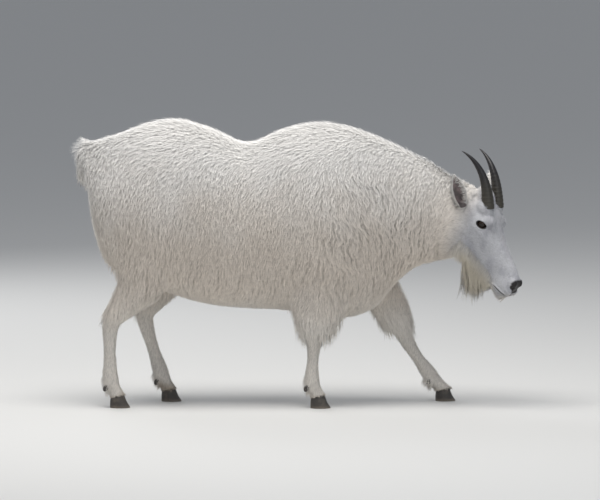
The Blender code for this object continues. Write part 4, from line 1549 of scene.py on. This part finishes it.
class Surface:
    """The skin as arrays, for scattering roots and finding their place on its unwrap."""

    chart_faces: int = 14000

    def __init__(self, skin: Piece) -> None:
        """Read the skin's triangles."""
        mesh = skin.data
        mesh.calc_loop_triangles()
        self.points, self.normals = surface_points(mesh)
        self.triangles = read(mesh.loop_triangles, "vertices", 3, np.int32)
        owners = read(mesh.loop_triangles, "polygon_index", 1, np.int32).ravel()
        slots = read(mesh.polygons, "material_index", 1, np.int32).ravel()[owners]
        self.lining = slots == 1
        self.ear = slots > 0
        first, second, third = (self.points[self.triangles[:, i]] for i in range(3))
        self.areas = np.linalg.norm(np.cross(second - first, third - first), axis=1) / 2
        self.centres = (first + second + third) / 3
        self.tree, self.chart = self.unwrapped(skin)

    def unwrapped(self, skin: Piece) -> tuple[BVHTree, Array]:
        """Unwrap a thinned copy of the skin.

        Args:
            skin: The skin.

        Returns:
            A search tree over the copy, and its corners with their UVs.
        """
        copy = skin.copy()
        copy.data = skin.data.copy()
        bpy.context.scene.collection.objects.link(copy)
        Modeller.apply(copy, "DECIMATE", ratio=self.chart_faces / len(self.triangles))
        Modeller.apply(copy, "TRIANGULATE")
        bpy.ops.object.mode_set(mode="EDIT")
        bpy.ops.mesh.select_all(action="SELECT")
        bpy.ops.uv.smart_project(angle_limit=math.radians(66), island_margin=0.004)
        bpy.ops.object.mode_set(mode="OBJECT")
        mesh = copy.data
        spots = read(mesh.uv_layers.active.data, "uv", 2)
        corners = read(mesh.loops, "vertex_index", 1, np.int32).ravel()
        points, _ = surface_points(mesh)
        chart = np.concatenate([points[corners], spots], axis=1).reshape(-1, 3, 5)
        tree = BVHTree.FromPolygons(points.tolist(), corners.reshape(-1, 3).tolist())
        bpy.data.objects.remove(copy)
        return tree, chart

    def scatter(self, density: Array, rng: Draws) -> Roots:
        """Roots spread at random, so many to each square metre.

        Args:
            density: Number to the square metre, for each triangle.
            rng: Source of random numbers.

        Returns:
            The roots.
        """
        weight = self.areas * density
        total = int(weight.sum())
        marks = (np.arange(total) + rng.random(total)) * weight.sum() / total
        picked = np.minimum(np.searchsorted(np.cumsum(weight), marks), len(weight) - 1)
        a, b = rng.random(total), rng.random(total)
        fold = a + b > 1
        a[fold], b[fold] = 1 - a[fold], 1 - b[fold]
        shares = np.stack([1 - a - b, a, b], axis=1)[:, :, None]
        corners = self.triangles[picked]
        points = (self.points[corners] * shares).sum(axis=1)
        normals = unit((self.normals[corners] * shares).sum(axis=1))
        return Roots(points, normals, self.lining[picked], self.ear[picked])

    def spots(self, points: Array) -> Array:
        """Where each point lies on the unwrap."""
        found = [self.tree.find_nearest(point) for point in points.tolist()]
        faces = np.array([hit[2] for hit in found])
        places = np.array([hit[0] for hit in found])
        corners = self.chart[faces]
        first, second, third = (corners[:, i, :3] for i in range(3))
        edge, other, reach = second - first, third - first, places - first
        aa, ab, bb = ((edge * edge).sum(1), (edge * other).sum(1), (other * other).sum(1))
        ra, rb = (reach * edge).sum(1), (reach * other).sum(1)
        ground = np.maximum(aa * bb - ab * ab, 1e-18)
        v, w = (bb * ra - ab * rb) / ground, (aa * rb - ab * ra) / ground
        shares = np.clip(np.stack([1 - v - w, v, w], axis=1), 0, 1)
        return (corners[:, :, 3:] * shares[:, :, None]).sum(axis=1)


@dataclass
class Tufts:
    """Many tapered tufts of three sides, as one set of arrays."""

    roots: Array
    normals: Array
    lies: Array
    lengths: Array
    widths: Array
    rises: Array
    shades: Array
    partings: Array
    sections: int = 2
    sway: float = 0.10
    sink: float = 0.0010
    thickness: float = 0.55
    patch: float = 0.0015

    @property
    def per(self) -> int:
        """Number of points to a tuft."""
        return self.sections * 3 + 1

    @property
    def across(self) -> Array:
        """Side of its tuft on which each point lies, from 1 to -1."""
        return np.array([(1.0, 0.0, -1.0)[i % 3] for i in range(self.per - 1)] + [0.0])

    @property
    def along(self) -> Array:
        """How far from root to tip each point lies."""
        return np.append(np.repeat(np.arange(self.sections) / self.sections, 3), 1.0)

    @property
    def pattern(self) -> Array:
        """The corners of one tuft's triangles."""
        faces = [(0, 1, 2)]
        for low in range(0, 3 * (self.sections - 1), 3):
            for i in range(3):
                j, high = (i + 1) % 3, low + 3
                faces += [(low + j, low + i, high + i), (low + j, high + i, high + j)]
        top = 3 * (self.sections - 1)
        faces += [(top + (i + 1) % 3, top + i, self.per - 1) for i in range(3)]
        return np.array(faces)

    def kept(self, mask: Array) -> "Tufts":
        """Only some of the tufts."""
        chosen = [values[mask] for values in (
            self.roots, self.normals, self.lies, self.lengths, self.widths, self.rises,
            self.shades, self.partings,
        )]
        return Tufts(*chosen, sections=self.sections, sway=self.sway)

    def points(self, sides: Array, rng: Draws) -> Array:
        """Place every point of every tuft.

        Args:
            sides: Unit vectors across the tufts.
            rng: Source of random numbers.

        Returns:
            An array of tufts, points and coordinates.
        """
        count, rings = len(self.roots), self.sections
        bend = rng.normal(0, self.sway, count)
        swing = rng.normal(0, self.sway * 0.5, count)
        points = np.zeros((count, self.per, 3))
        start = self.roots - self.normals * self.sink
        for k in range(rings + 1):
            t = k / rings
            centre = start + self.lies * (self.lengths * t)[:, None]
            centre += self.normals * (self.rises * (1 - (1 - t) ** 2))[:, None]
            wander = (bend * t * t + swing * math.sin(math.pi * t * 1.5)) * self.lengths
            centre += sides * wander[:, None]
            if k == rings:
                points[:, -1] = centre
                break
            share = (0.72 + 0.9 * t) * (1 - t) ** 0.75 if k else 0.72
            wide = sides * (self.widths * share)[:, None]
            thick = self.normals * (self.widths * share * self.thickness)[:, None]
            for i, offset in enumerate((wide, thick, -wide)):
                points[:, 3 * k + i] = centre + offset
        return points

    def mesh(self, name: str, surface: Surface, rng: Draws) -> Mesh:
        """Build the tufts' mesh with its data and its bake map.

        Args:
            name: The mesh's name.
            surface: The skin that the roots lie on.
            rng: Source of random numbers.

        Returns:
            The mesh.
        """
        sides = unit(np.cross(self.lies, self.normals))
        starts = np.arange(len(self.roots)) * self.per
        corners = (self.pattern[None] + starts[:, None, None]).reshape(-1)
        mesh = bpy.data.meshes.new(name)
        mesh.vertices.add(len(self.roots) * self.per)
        mesh.vertices.foreach_set("co", self.points(sides, rng).ravel())
        mesh.loops.add(len(corners))
        mesh.loops.foreach_set("vertex_index", corners.astype(np.int32))
        mesh.polygons.add(len(corners) // 3)
        mesh.polygons.foreach_set("loop_start", np.arange(0, len(corners), 3, dtype=np.int32))
        mesh.update(calc_edges=True)
        self.write_data(mesh)
        self.write_map(mesh, surface)
        self.write_normals(mesh, sides)
        return mesh

    def write_normals(self, mesh: Mesh, sides: Array) -> None:
        """Shade the hair mostly like the skin under it, which keeps the coat soft."""
        turned = sides[:, None, :] * (self.across * 0.30)[None, :, None]
        mixed = self.normals[:, None, :] * 0.88 + turned + self.lies[:, None, :] * 0.09
        mesh.shade_smooth()
        mesh.normals_split_custom_set_from_vertices(unit(mixed.reshape(-1, 3)).astype(np.float32))

    def write_data(self, mesh: Mesh) -> None:
        """Store the place along the hair, its shade and the partings on each point."""
        data = np.ones((len(self.roots), self.per, 4))
        data[:, :, 0] = self.along[None]
        data[:, :, 1] = self.shades[:, None]
        data[:, :, 2] = self.partings[:, None]
        layer = mesh.color_attributes.new(HAIR_DATA, "FLOAT_COLOR", "POINT")
        layer.data.foreach_set("color", data.ravel())

    def write_map(self, mesh: Mesh, surface: Surface) -> None:
        """Give each tuft a small patch at its root's place on the skin's unwrap."""
        across = self.across * self.patch * (1 - self.along * 0.5)
        local = np.stack([across, (self.along * 2 - 1) * self.patch], axis=1)
        values = surface.spots(self.roots)[:, None, :] + local[None]
        layer = mesh.uv_layers.new(name=BAKE_MAP)
        layer.data.foreach_set("uv", values[:, self.pattern.ravel(), :].reshape(-1))


@dataclass
class Partings:
    """Wavy cracks where the short coat opens over shoulder, neck, flank and thigh.

    A zone has the x and z of its middle, its reach along both, and its strength. A wave has
    its size, period and drift along X. A fan has the x of its middle, its slant and its reach.
    """

    spacing: float = 0.0165
    gap: float = 0.0020
    lean_reach: float = 0.0075
    jitter: float = 0.62
    zones: tuple[Row, ...] = (
        (0.165, 0.60, 0.105, 0.17, 1.35), (0.34, 0.56, 0.08, 0.10, 0.85),
        (-0.18, 0.42, 0.34, 0.10, 0.36), (-0.50, 0.55, 0.10, 0.12, 0.26),
    )
    waves: tuple[Row, ...] = ((0.0070, 0.130, 16.0), (0.0022, 0.047, 50.0), (0.0007, 0.021, 170.0))
    fans: tuple[Row, ...] = ((0.20, 0.20, 0.11), (0.37, -0.20, 0.08))
    fan_height: float = 0.60

    def strength(self, points: Array) -> Array:
        """Where the coat cracks, from 0 to 1."""
        total = np.zeros(len(points))
        for x, z, reach_x, reach_z, share in self.zones:
            away = ((points[:, 0] - x) / reach_x) ** 2 + ((points[:, 2] - z) / reach_z) ** 2
            total += np.exp(-away) * share
        return np.clip(total, 0, 1) * (1 - HEAD.share(points))

    def shift(self, x: Array, z: Array) -> Array:
        """How far back along X the cracks lie from upright lines, by place."""
        total = np.zeros(len(x))
        for middle, slant, reach in self.fans:
            total += (z - self.fan_height) * slant * np.exp(-((x - middle) / reach) ** 2)
        for size, period, drift in self.waves:
            total += size * np.sin(2 * math.pi * z / period + drift * x)
        return total

    def slope(self, points: Array) -> Array:
        """How far along X a crack runs for each metre that it drops."""
        x, z = points[:, 0], points[:, 2]
        step = 0.0005
        fall = (self.shift(x, z + step) - self.shift(x, z - step)) / (2 * step)
        spread = (self.shift(x + step, z) - self.shift(x - step, z)) / (2 * step)
        return fall / (1 + spread)

    def at(self, points: Array) -> tuple[Array, Array]:
        """How open the coat is at each point, and which way it leans from the crack.

        Args:
            points: Places on the skin.

        Returns:
            Openness from 0 to 1, and the lean along X from -1 to 1.
        """
        x, z = points[:, 0], points[:, 2]
        course = (x + self.shift(x, z)) / self.spacing
        line = np.round(course)
        toss = tossed(line)
        away = (course - line - (toss - 0.5) * self.jitter) * self.spacing
        broken = np.sin(2 * math.pi * z / (0.115 + 0.09 * toss) + toss * 40.0)
        strength = self.strength(points) * (ease((broken + 0.35) / 0.5) * (0.28 + 0.72 * toss))
        openness = np.exp(-(away / self.gap) ** 2) * strength
        lean = np.sign(away) * np.exp(-(np.abs(away) / self.lean_reach)) * strength
        return openness, lean


@dataclass(frozen=True)
class Layer:
    """One layer of the short coat: how dense on body, legs and face, and its shape."""

    prefix: str
    body: float
    leg: float
    face: float
    sections: int
    length: float
    width: float
    opens_at: float


@dataclass
class Coat:
    """Short tufts that lie along the body."""

    skin: Skin
    surface: Surface
    partings: Partings = field(default_factory=Partings)
    layers: tuple[Layer, ...] = (
        Layer("guard", 25000.0, 44000.0, 86000.0, 2, 1.0, 1.0, 0.10),
        Layer("under", 63000.0, 96000.0, 190000.0, 1, 0.74, 0.72, 2.0),
    )
    length_body: float = 0.027
    length_leg: float = 0.015
    length_face: float = 0.0110
    length_ear: float = 0.0095
    rise_ear: float = 0.0022
    rise_least: float = 0.0009
    width_body: float = 0.00130
    width_face: float = 0.00085
    coronet: float = 0.0345
    wander: float = 0.10
    clump: float = 0.115
    stray: float = 0.09
    part_lean: float = 0.46
    raised_share: float = 0.14
    seed: int = 7
    regions: tuple[tuple[float, str], ...] = (
        (-0.47, "rump"), (-0.22, "loin"), (0.03, "barrel"), (0.28, "shoulder"), (2.0, "neck"),
    )

    def lie(self, points: Array, normals: Array, ear: Array) -> Array:
        """Which way the hair lies at each point.

        Args:
            points: Places on the skin.
            normals: The skin's normals there.
            ear: Which of them are on an ear.

        Returns:
            Unit vectors along the skin.
        """
        head = HEAD.share(points)
        x, y, z = points.T
        outward = np.sign(y) * ease(np.abs(y) / 0.05)
        drop = ease((0.93 - z) / 0.30)
        level = 0.35 * outward * (1 - drop)
        way = np.stack([-0.85 + 0.62 * drop, level, -0.15 - 0.95 * drop], axis=1)
        way += ease((-0.50 - x) / 0.15)[:, None] * np.array([0.35, 0, -0.8])
        for share, course in (
            (ease((0.36 - z) / 0.14), (-0.10, 0, -1.0)), (head, HEAD.way(-0.93, 0, -0.30)),
        ):
            way = way * (1 - share)[:, None] + share[:, None] * np.array(course)
        wander = np.stack([
            np.sin(23 * x + 11 * z) + np.sin(41 * z - 17 * y),
            np.sin(19 * z + 7 * x) * 0.6,
            np.sin(29 * x - 13 * y) * 0.6,
        ], axis=1)
        way += wander * (self.wander * (1 - 0.6 * head))[:, None]
        clump = np.stack([
            np.sin(283 * x + 131 * z) * np.sin(211 * z - 167 * y) + 0.6 * np.sin(97 * z + 61 * x),
            np.sin(239 * z + 151 * x) * np.sin(199 * x - 89 * z),
            np.zeros(len(x)),
        ], axis=1)
        way += clump * (self.clump * (1 - 0.5 * head))[:, None]
        follow = self.partings.strength(points)[:, None] * 0.85
        course = np.stack([self.partings.slope(points), np.zeros(len(x)), -np.ones(len(x))], axis=1)
        way = way * (1 - follow) + course * follow
        for side in Side:
            here = ear & (np.sign(HEAD.local(points)[:, 1]) == side.value)
            way[here] = np.array(self.skin.ears.axes(side)[0])
        return self.flat(way, normals)

    @staticmethod
    def flat(ways: Array, normals: Array) -> Array:
        """Directions turned to run along the skin."""
        return unit(ways - normals * (ways * normals).sum(axis=1)[:, None])

    def bare(self, points: Array) -> Array:
        """Where no hair grows: nose leather, eyes, lips and under the horns."""
        forward, left, up = HEAD.local(points).T
        aside = np.abs(left)
        nose = (forward > 0.188) & (MUZZLE.off_wing(aside, up) < 0.007) & between(up, -0.104, -0.038)
        bridge = (forward > 0.196) & between(up, -0.060, -0.034) & (aside < 0.018)
        lips = (np.abs(MUZZLE.off_lips(forward, up)) < 0.0030) & (forward > 0.158)
        none = nose | lips | bridge
        for side in Side:
            across, rise, out = (np.array(way) for way in self.skin.eyes.axes(side))
            offset = points - np.array(self.skin.eyes.centre(side))
            wide, tall = (size * 1.24 for size in self.skin.eyes.opening)
            almond = (offset @ across / wide) ** 2 + (offset @ rise / tall) ** 2
            none |= (almond < 1.0) & (offset @ out > 0.004) & (lengths_of(offset) < 0.04)
            none |= lengths_of(points - np.array(HEAD.on(side, MUZZLE.nostril))) < 0.0125
            offset = points - np.array(HEAD.on(side, HORN_ROOT))
            none |= (np.hypot(offset[:, 0], offset[:, 1]) < 0.0168) & (np.abs(offset[:, 2]) < 0.05)
        return none

    def region(self, points: Array) -> Array:
        """Which part of the body each point belongs to, as a name."""
        x, y, z = points.T
        ends, parts = zip(*self.regions)
        names = np.array(parts)[np.searchsorted(ends, x, side="right")]
        names = np.where(z < 0.30, np.where(x > -0.2, "foreleg", "hindleg"), names)
        head = HEAD.share(points) > 0.5
        left = np.where(head, HEAD.local(points)[:, 1], y) > 0
        names = np.char.add(np.where(head, "head", names), "_")
        return np.char.add(names, np.where(left, "left", "right"))

    def density(self, layer: Layer) -> Array:
        """A layer's tufts to the square metre on each triangle of the skin."""
        centres = self.surface.centres
        head = np.maximum(HEAD.share(centres), self.surface.ear)
        low = ease((0.34 - centres[:, 2]) / 0.10)
        density = layer.body * (1 - low) + layer.leg * low
        density = density * (1 - head) + layer.face * head
        density[self.surface.lining] = 0.0
        return density

    def tufts(self, layer: Layer, rng: Draws) -> Tufts:
        """Scatter one layer's tufts and shape each by its place.

        Args:
            layer: The layer of the coat.
            rng: Source of random numbers.

        Returns:
            All tufts of the layer.
        """
        roots = self.surface.scatter(self.density(layer), rng)
        roots = roots.kept(~self.bare(roots.points) & (roots.points[:, 2] > self.coronet))
        points, normals = roots.points, roots.normals
        count = len(points)
        head = np.maximum(HEAD.share(points), roots.ear)
        low = ease((0.40 - points[:, 2]) / 0.16)
        length = self.length_body * (1 - low) + self.length_leg * low
        near_nose = ease((HEAD.local(points)[:, 0] - 0.02) / 0.16)
        length = length * (1 - head) + self.length_face * (1 - 0.55 * near_nose) * head
        length[roots.ear] = self.length_ear
        length *= rng.uniform(0.75, 1.25, count) * layer.length
        length *= 1 - 0.35 * ease((0.075 - points[:, 2]) / 0.03)
        for side in Side:
            away = lengths_of(points - np.array(self.skin.eyes.centre(side)))
            length *= 0.28 + 0.72 * ease((away - 0.0210) / 0.020)
        slim = np.maximum(head, low * 0.6)
        width = self.width_body * (1 - slim) + self.width_face * slim
        width *= rng.uniform(0.7, 1.3, count) * layer.width
        openness, lean = self.partings.at(points)
        lie = self.lie(points, normals, roots.ear)
        stray = rng.normal(0, self.stray, (count, 3)) * (1 - 0.75 * np.abs(lean))[:, None]
        lie = unit(lie + stray + np.array([self.part_lean, 0, 0]) * lean[:, None])
        rise = self.skin.depth(points) * rng.uniform(0.62, 0.98, count)
        rise *= np.where(rng.random(count) < self.raised_share, 1.32, 1.0)
        rise[roots.ear] = self.rise_ear
        rise = np.maximum(rise, self.rise_least) * (1 - 0.80 * openness)
        length *= 1 - 0.55 * openness
        made = Tufts(points, normals, self.flat(lie, normals), length, width, rise,
                     rng.random(count), np.clip(openness * 1.15, 0, 1), sections=layer.sections)
        return made.kept(openness < layer.opens_at)

    def build(self, finish: CoatFinish) -> list[Piece]:
        """Make the coat's pieces.

        Args:
            finish: The coat's finish.

        Returns:
            The pieces, one for each layer and part of the body.
        """
        rng = np.random.default_rng(self.seed)
        material = finish.coat("Short_coat", 0.84)
        pieces = []
        for layer in self.layers:
            tufts = self.tufts(layer, rng)
            regions = self.region(tufts.roots)
            for name in np.unique(regions):
                chosen = tufts.kept(regions == name)
                title = f"{layer.prefix}_{name}"
                pieces.append(hair_piece(title, chosen, self.surface, rng, material))
        return pieces


def hair_piece(
    name: str, tufts: Tufts, surface: Surface, rng: Draws, material: Material
) -> Piece:
    """One piece of coat.

    Args:
        name: The piece's name.
        tufts: Its hair.
        surface: The skin it grows on.
        rng: Source of random numbers.
        material: Its finish.

    Returns:
        The piece.
    """
    piece = Modeller.linked(name, tufts.mesh(name, surface, rng))
    Modeller.wear(piece, material)
    return piece


@dataclass(frozen=True)
class Lock:
    """One kind of long hair: locks to the square metre, lengths, lie, half width and lift."""

    density: float
    lengths: Span
    way: Triple
    width: float
    rise: float


@dataclass
class LongHair:
    """Beard, chaps over the knees, breeches behind the thighs, and the tail's hair."""

    skin: Skin
    surface: Surface
    seed: int = 19
    sections: int = 5
    sway: float = 0.07
    beard_lock: Lock = Lock(230000.0, (0.80, 1.04), (-0.03, 0, -1), 0.0012, 0.0)
    beard_profile: tuple[Row, ...] = (
        (0.008, 0.140), (0.045, 0.130), (0.075, 0.100), (0.100, 0.066), (0.125, 0.034), (0.142, 0.013),
    )
    beard_cell: Span = (0.005, 0.007)
    ruff_lock: Lock = Lock(60000.0, (0.018, 0.034), (-0.30, 0, -1), 0.0011, 1.0)
    chaps_lock: Lock = Lock(52000.0, (0.024, 0.062), (0, 0, -1), 0.0013, 0.8)
    chaps_heights: Span = (0.240, 0.350)
    chaps_lean: float = 0.32
    breeches_lock: Lock = Lock(50000.0, (0.026, 0.058), (-0.08, 0, -1), 0.0013, 0.8)
    breeches_heights: Span = (0.300, 0.500)
    feather_lock: Lock = Lock(90000.0, (0.014, 0.026), (-0.30, 0, -1), 0.0009, 1.0)
    tail_lock: Lock = Lock(90000.0, (0.022, 0.046), (-0.05, 0, -1), 0.0012, 0.8)
    tail_heights: Span = (0.72, 0.862)

    def grown(
        self, mask: Array, lock: Lock, rng: Draws, lean: float = 0.0
    ) -> Tufts:
        """Long hair on the triangles that a mask picks.

        Args:
            mask: Which triangles of the skin.
            lock: The kind of hair.
            rng: Source of random numbers.
            lean: How far forward it hangs beside its usual lie.

        Returns:
            The locks.
        """
        roots = self.surface.scatter(mask * lock.density, rng)
        roots = roots.kept(~roots.lining)
        count = len(roots.points)
        way = np.tile(np.array(lock.way, dtype=float) + (lean, 0, 0), (count, 1))
        way += rng.normal(0, 0.07, (count, 3))
        inward = (way * roots.normals).sum(axis=1)
        way -= roots.normals * np.minimum(inward, 0)[:, None]
        reach = rng.uniform(*lock.lengths, count)
        rises = self.skin.depth(roots.points) * lock.rise * rng.uniform(0.4, 1.2, count)
        widths = lock.width * rng.uniform(0.6, 1.3, count)
        return Tufts(roots.points, roots.normals, unit(way), reach, widths, rises,
                     rng.random(count), np.zeros(count), sections=self.sections, sway=self.sway)

    def beard(self, rng: Draws) -> Tufts:
        """The beard, longest at its back."""
        forward, aside, up = HEAD.local(self.surface.centres).T
        mask = between(forward, 0.008, 0.142) & between(up, -0.165, -0.118) & (np.abs(aside) < 0.030)
        tufts = self.grown(mask, self.beard_lock, rng)
        ahead, aside, _ = HEAD.local(tufts.roots).T
        long, wide = self.beard_cell
        wisp = tossed(np.floor(ahead / long) + 17 * np.floor(aside / wide))
        tufts.lengths *= np.interp(ahead, *zip(*self.beard_profile))
        tufts.lengths *= 0.46 + 0.62 * wisp
        tufts.shades = wisp * 0.7 + tufts.shades * 0.3
        tufts.lies = unit(tufts.lies - np.array(HEAD.axes[1])[None] * (aside * 6.0)[:, None])
        return tufts

    @staticmethod
    def thinned(tufts: Tufts, top: float, rng: Draws) -> Tufts:
        """Fewer and shorter locks towards their upper edge."""
        share = ease((top - tufts.roots[:, 2]) / 0.085)
        tufts.lengths *= 0.45 + 0.55 * share
        return tufts.kept(rng.random(len(share)) < 0.08 + 0.92 * share)

    def ruff(self, rng: Draws) -> Tufts:
        """Longer hair along the jaw that runs into the beard."""
        forward, _, up = HEAD.local(self.surface.centres).T
        mask = between(forward, -0.02, 0.130) & between(up, -0.150, -0.088)
        mask &= HEAD.share(self.surface.centres) > 0.5
        tufts = self.grown(mask, self.ruff_lock, rng)
        tufts.lengths *= 1 - 0.55 * ease((HEAD.local(tufts.roots)[:, 0] - 0.04) / 0.09)
        return tufts

    def chaps(self, side: Side, rng: Draws) -> Tufts:
        """Fringes that hang from the forearm over the knee."""
        x, y, z = self.surface.centres.T
        middle, half = self.skin.body.leg_at(f"front_{side.word}", z)
        mask = between(z, *self.chaps_heights) & (np.sign(y) == side.value)
        mask &= (np.abs(x - middle) < half + 0.004) & (np.abs(np.abs(y) - 0.114) < 0.062)
        lean = self.chaps_lean if side is Side.LEFT else 0.0
        tufts = self.grown(mask, self.chaps_lock, rng, lean)
        return self.thinned(tufts, self.chaps_heights[1], rng)

    def breeches(self, side: Side, rng: Draws) -> Tufts:
        """Longer hair behind the thigh, down to the hock."""
        x, y, z = self.surface.centres.T
        middle, _ = self.skin.body.leg_at(f"hind_{side.word}", z)
        mask = between(z, *self.breeches_heights) & (np.sign(y) == side.value)
        mask &= (x < middle + 0.01) & (x < -0.3) & (np.abs(y) > 0.045)
        tufts = self.grown(mask, self.breeches_lock, rng)
        return self.thinned(tufts, self.breeches_heights[1], rng)

    def feather(self, name: str, rng: Draws) -> Tufts:
        """Hair behind a pastern that half covers the dewclaws."""
        centres = self.surface.centres
        heel = np.array(self.skin.body.heel(name)) + np.array([0.012, 0, 0.016])
        mask = (lengths_of(centres - heel) < 0.030) & (centres[:, 0] < heel[0] + 0.004)
        return self.grown(mask, self.feather_lock, rng)

    def tail(self, rng: Draws) -> Tufts:
        """Hair that hangs from the tail and stands off its root."""
        x, y, z = self.surface.centres.T
        mask = (x < -0.655) & between(z, *self.tail_heights) & (np.abs(y) < 0.034)
        tufts = self.grown(mask, self.tail_lock, rng)
        root = ease((tufts.roots[:, 2] - 0.805) / 0.04)
        tufts.lies = unit(tufts.lies + root[:, None] * np.array([-0.8, 0, 0.75]))
        return tufts

    def build(self, finish: CoatFinish) -> list[Piece]:
        """Make the pieces of long hair.

        Args:
            finish: The coat's finish.

        Returns:
            The pieces.
        """
        rng = np.random.default_rng(self.seed)
        plain = finish.coat("Long_hair", 0.80)
        tinted = finish.coat("Beard_hair", 0.80, tint=0.35)
        pieces = [
            hair_piece("beard", self.beard(rng), self.surface, rng, tinted),
            hair_piece("jaw_ruff", self.ruff(rng), self.surface, rng, tinted),
            hair_piece("tail_hair", self.tail(rng), self.surface, rng, plain),
        ]
        for name in self.skin.body.legs:
            feather = self.feather(name, rng)
            pieces.append(hair_piece(f"feather_{name}", feather, self.surface, rng, plain))
        for side in Side:
            both = {"chaps": self.chaps(side, rng), "breeches": self.breeches(side, rng)}
            for word, tufts in both.items():
                name = f"{word}_{side.word}"
                pieces.append(hair_piece(name, tufts, self.surface, rng, plain))
        return pieces


@dataclass
class Studio:
    """Pale floor, soft light and the camera at the photograph's angle.

    A lamp has its name, place, size, power and colour.
    """

    distance: float = 30.0
    view_width: float = 1.92
    elevation: float = math.radians(5)
    target: Triple = (0.0032, 0.0, 0.496)
    floor_size: float = 160.0
    sky_colour: Colour = (0.86, 0.90, 0.97)
    sky_strength: float = 0.395
    lamps: tuple[tuple[str, Triple, float, float, Colour], ...] = (
        ("key", (-0.5, -1.1, 4.6), 3.0, 212.0, (1.0, 0.975, 0.94)),
        ("fill", (2.0, -4.4, 1.8), 2.6, 30.0, (0.95, 0.97, 1.0)),
        ("rim", (-1.8, 3.8, 2.8), 2.4, 60.0, (1.0, 1.0, 1.0)),
    )

    def floor(self) -> None:
        """The floor."""
        bpy.ops.object.select_all(action="DESELECT")
        bpy.ops.mesh.primitive_plane_add(size=self.floor_size, location=(0, 0, 0))
        piece = bpy.context.active_object
        piece.name = "floor"
        Modeller.wear(piece, FloorFinish().material())

    @staticmethod
    def aimed(name: str, data: bpy.types.ID, place: Vector, way: Vector) -> Piece:
        """A lamp or camera at a place, looking along a way."""
        made = Modeller.linked(name, data)
        made.location = place
        made.rotation_euler = way.to_track_quat("-Z", "Y").to_euler()
        return made

    def camera(self) -> None:
        """The camera, far off with a long lens as in the photograph."""
        data = bpy.data.cameras.new("camera")
        data.lens = data.sensor_width * self.distance / self.view_width
        data.clip_end = 400.0
        back = Vector((0, -math.cos(self.elevation), math.sin(self.elevation)))
        place = Vector(self.target) + back * self.distance
        bpy.context.scene.camera = self.aimed("camera", data, place, -back)

    def sky(self) -> None:
        """Even, pale light from all round."""
        world = bpy.data.worlds.new("studio")
        world.use_nodes = True
        background = world.node_tree.nodes["Background"]
        background.inputs["Color"].default_value = (*self.sky_colour, 1)
        background.inputs["Strength"].default_value = self.sky_strength
        bpy.context.scene.world = world

    def build(self) -> None:
        """Set the floor, lights and camera."""
        self.camera()
        self.sky()
        self.floor()
        for name, place, size, power, colour in self.lamps:
            data = bpy.data.lights.new(name, "AREA")
            data.size, data.energy, data.color = size, power, colour
            self.aimed(name, data, Vector(place), Vector(self.target) - Vector(place))
        bpy.context.scene.view_settings.view_transform = "Standard"


def main() -> None:
    """Build every piece and set it on the one body."""
    logging.basicConfig(level=logging.INFO, format="%(name)s: %(message)s")
    Studio().build()
    finish = CoatFinish()
    body = Body()
    eyes = EyePair()
    maker = Skin(body, eyes, EarPair())
    skin = maker.build(finish)
    surface = Surface(skin)
    pieces = [skin]
    pieces += eyes.build(EyeFinish())
    pieces += HornPair().build(HornFinish())
    pieces += Hooves(body).build(HoofFinish())
    pieces += Coat(maker, surface).build(finish)
    pieces += LongHair(maker, surface).build(finish)
    for piece in pieces:
        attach(piece, BODY)
        log.info("%s: %d faces", piece.name, len(piece.data.polygons))
    log.info("%d pieces, %d faces", len(pieces), sum(len(piece.data.polygons) for piece in pieces))


if __name__ == "__main__":
    main()
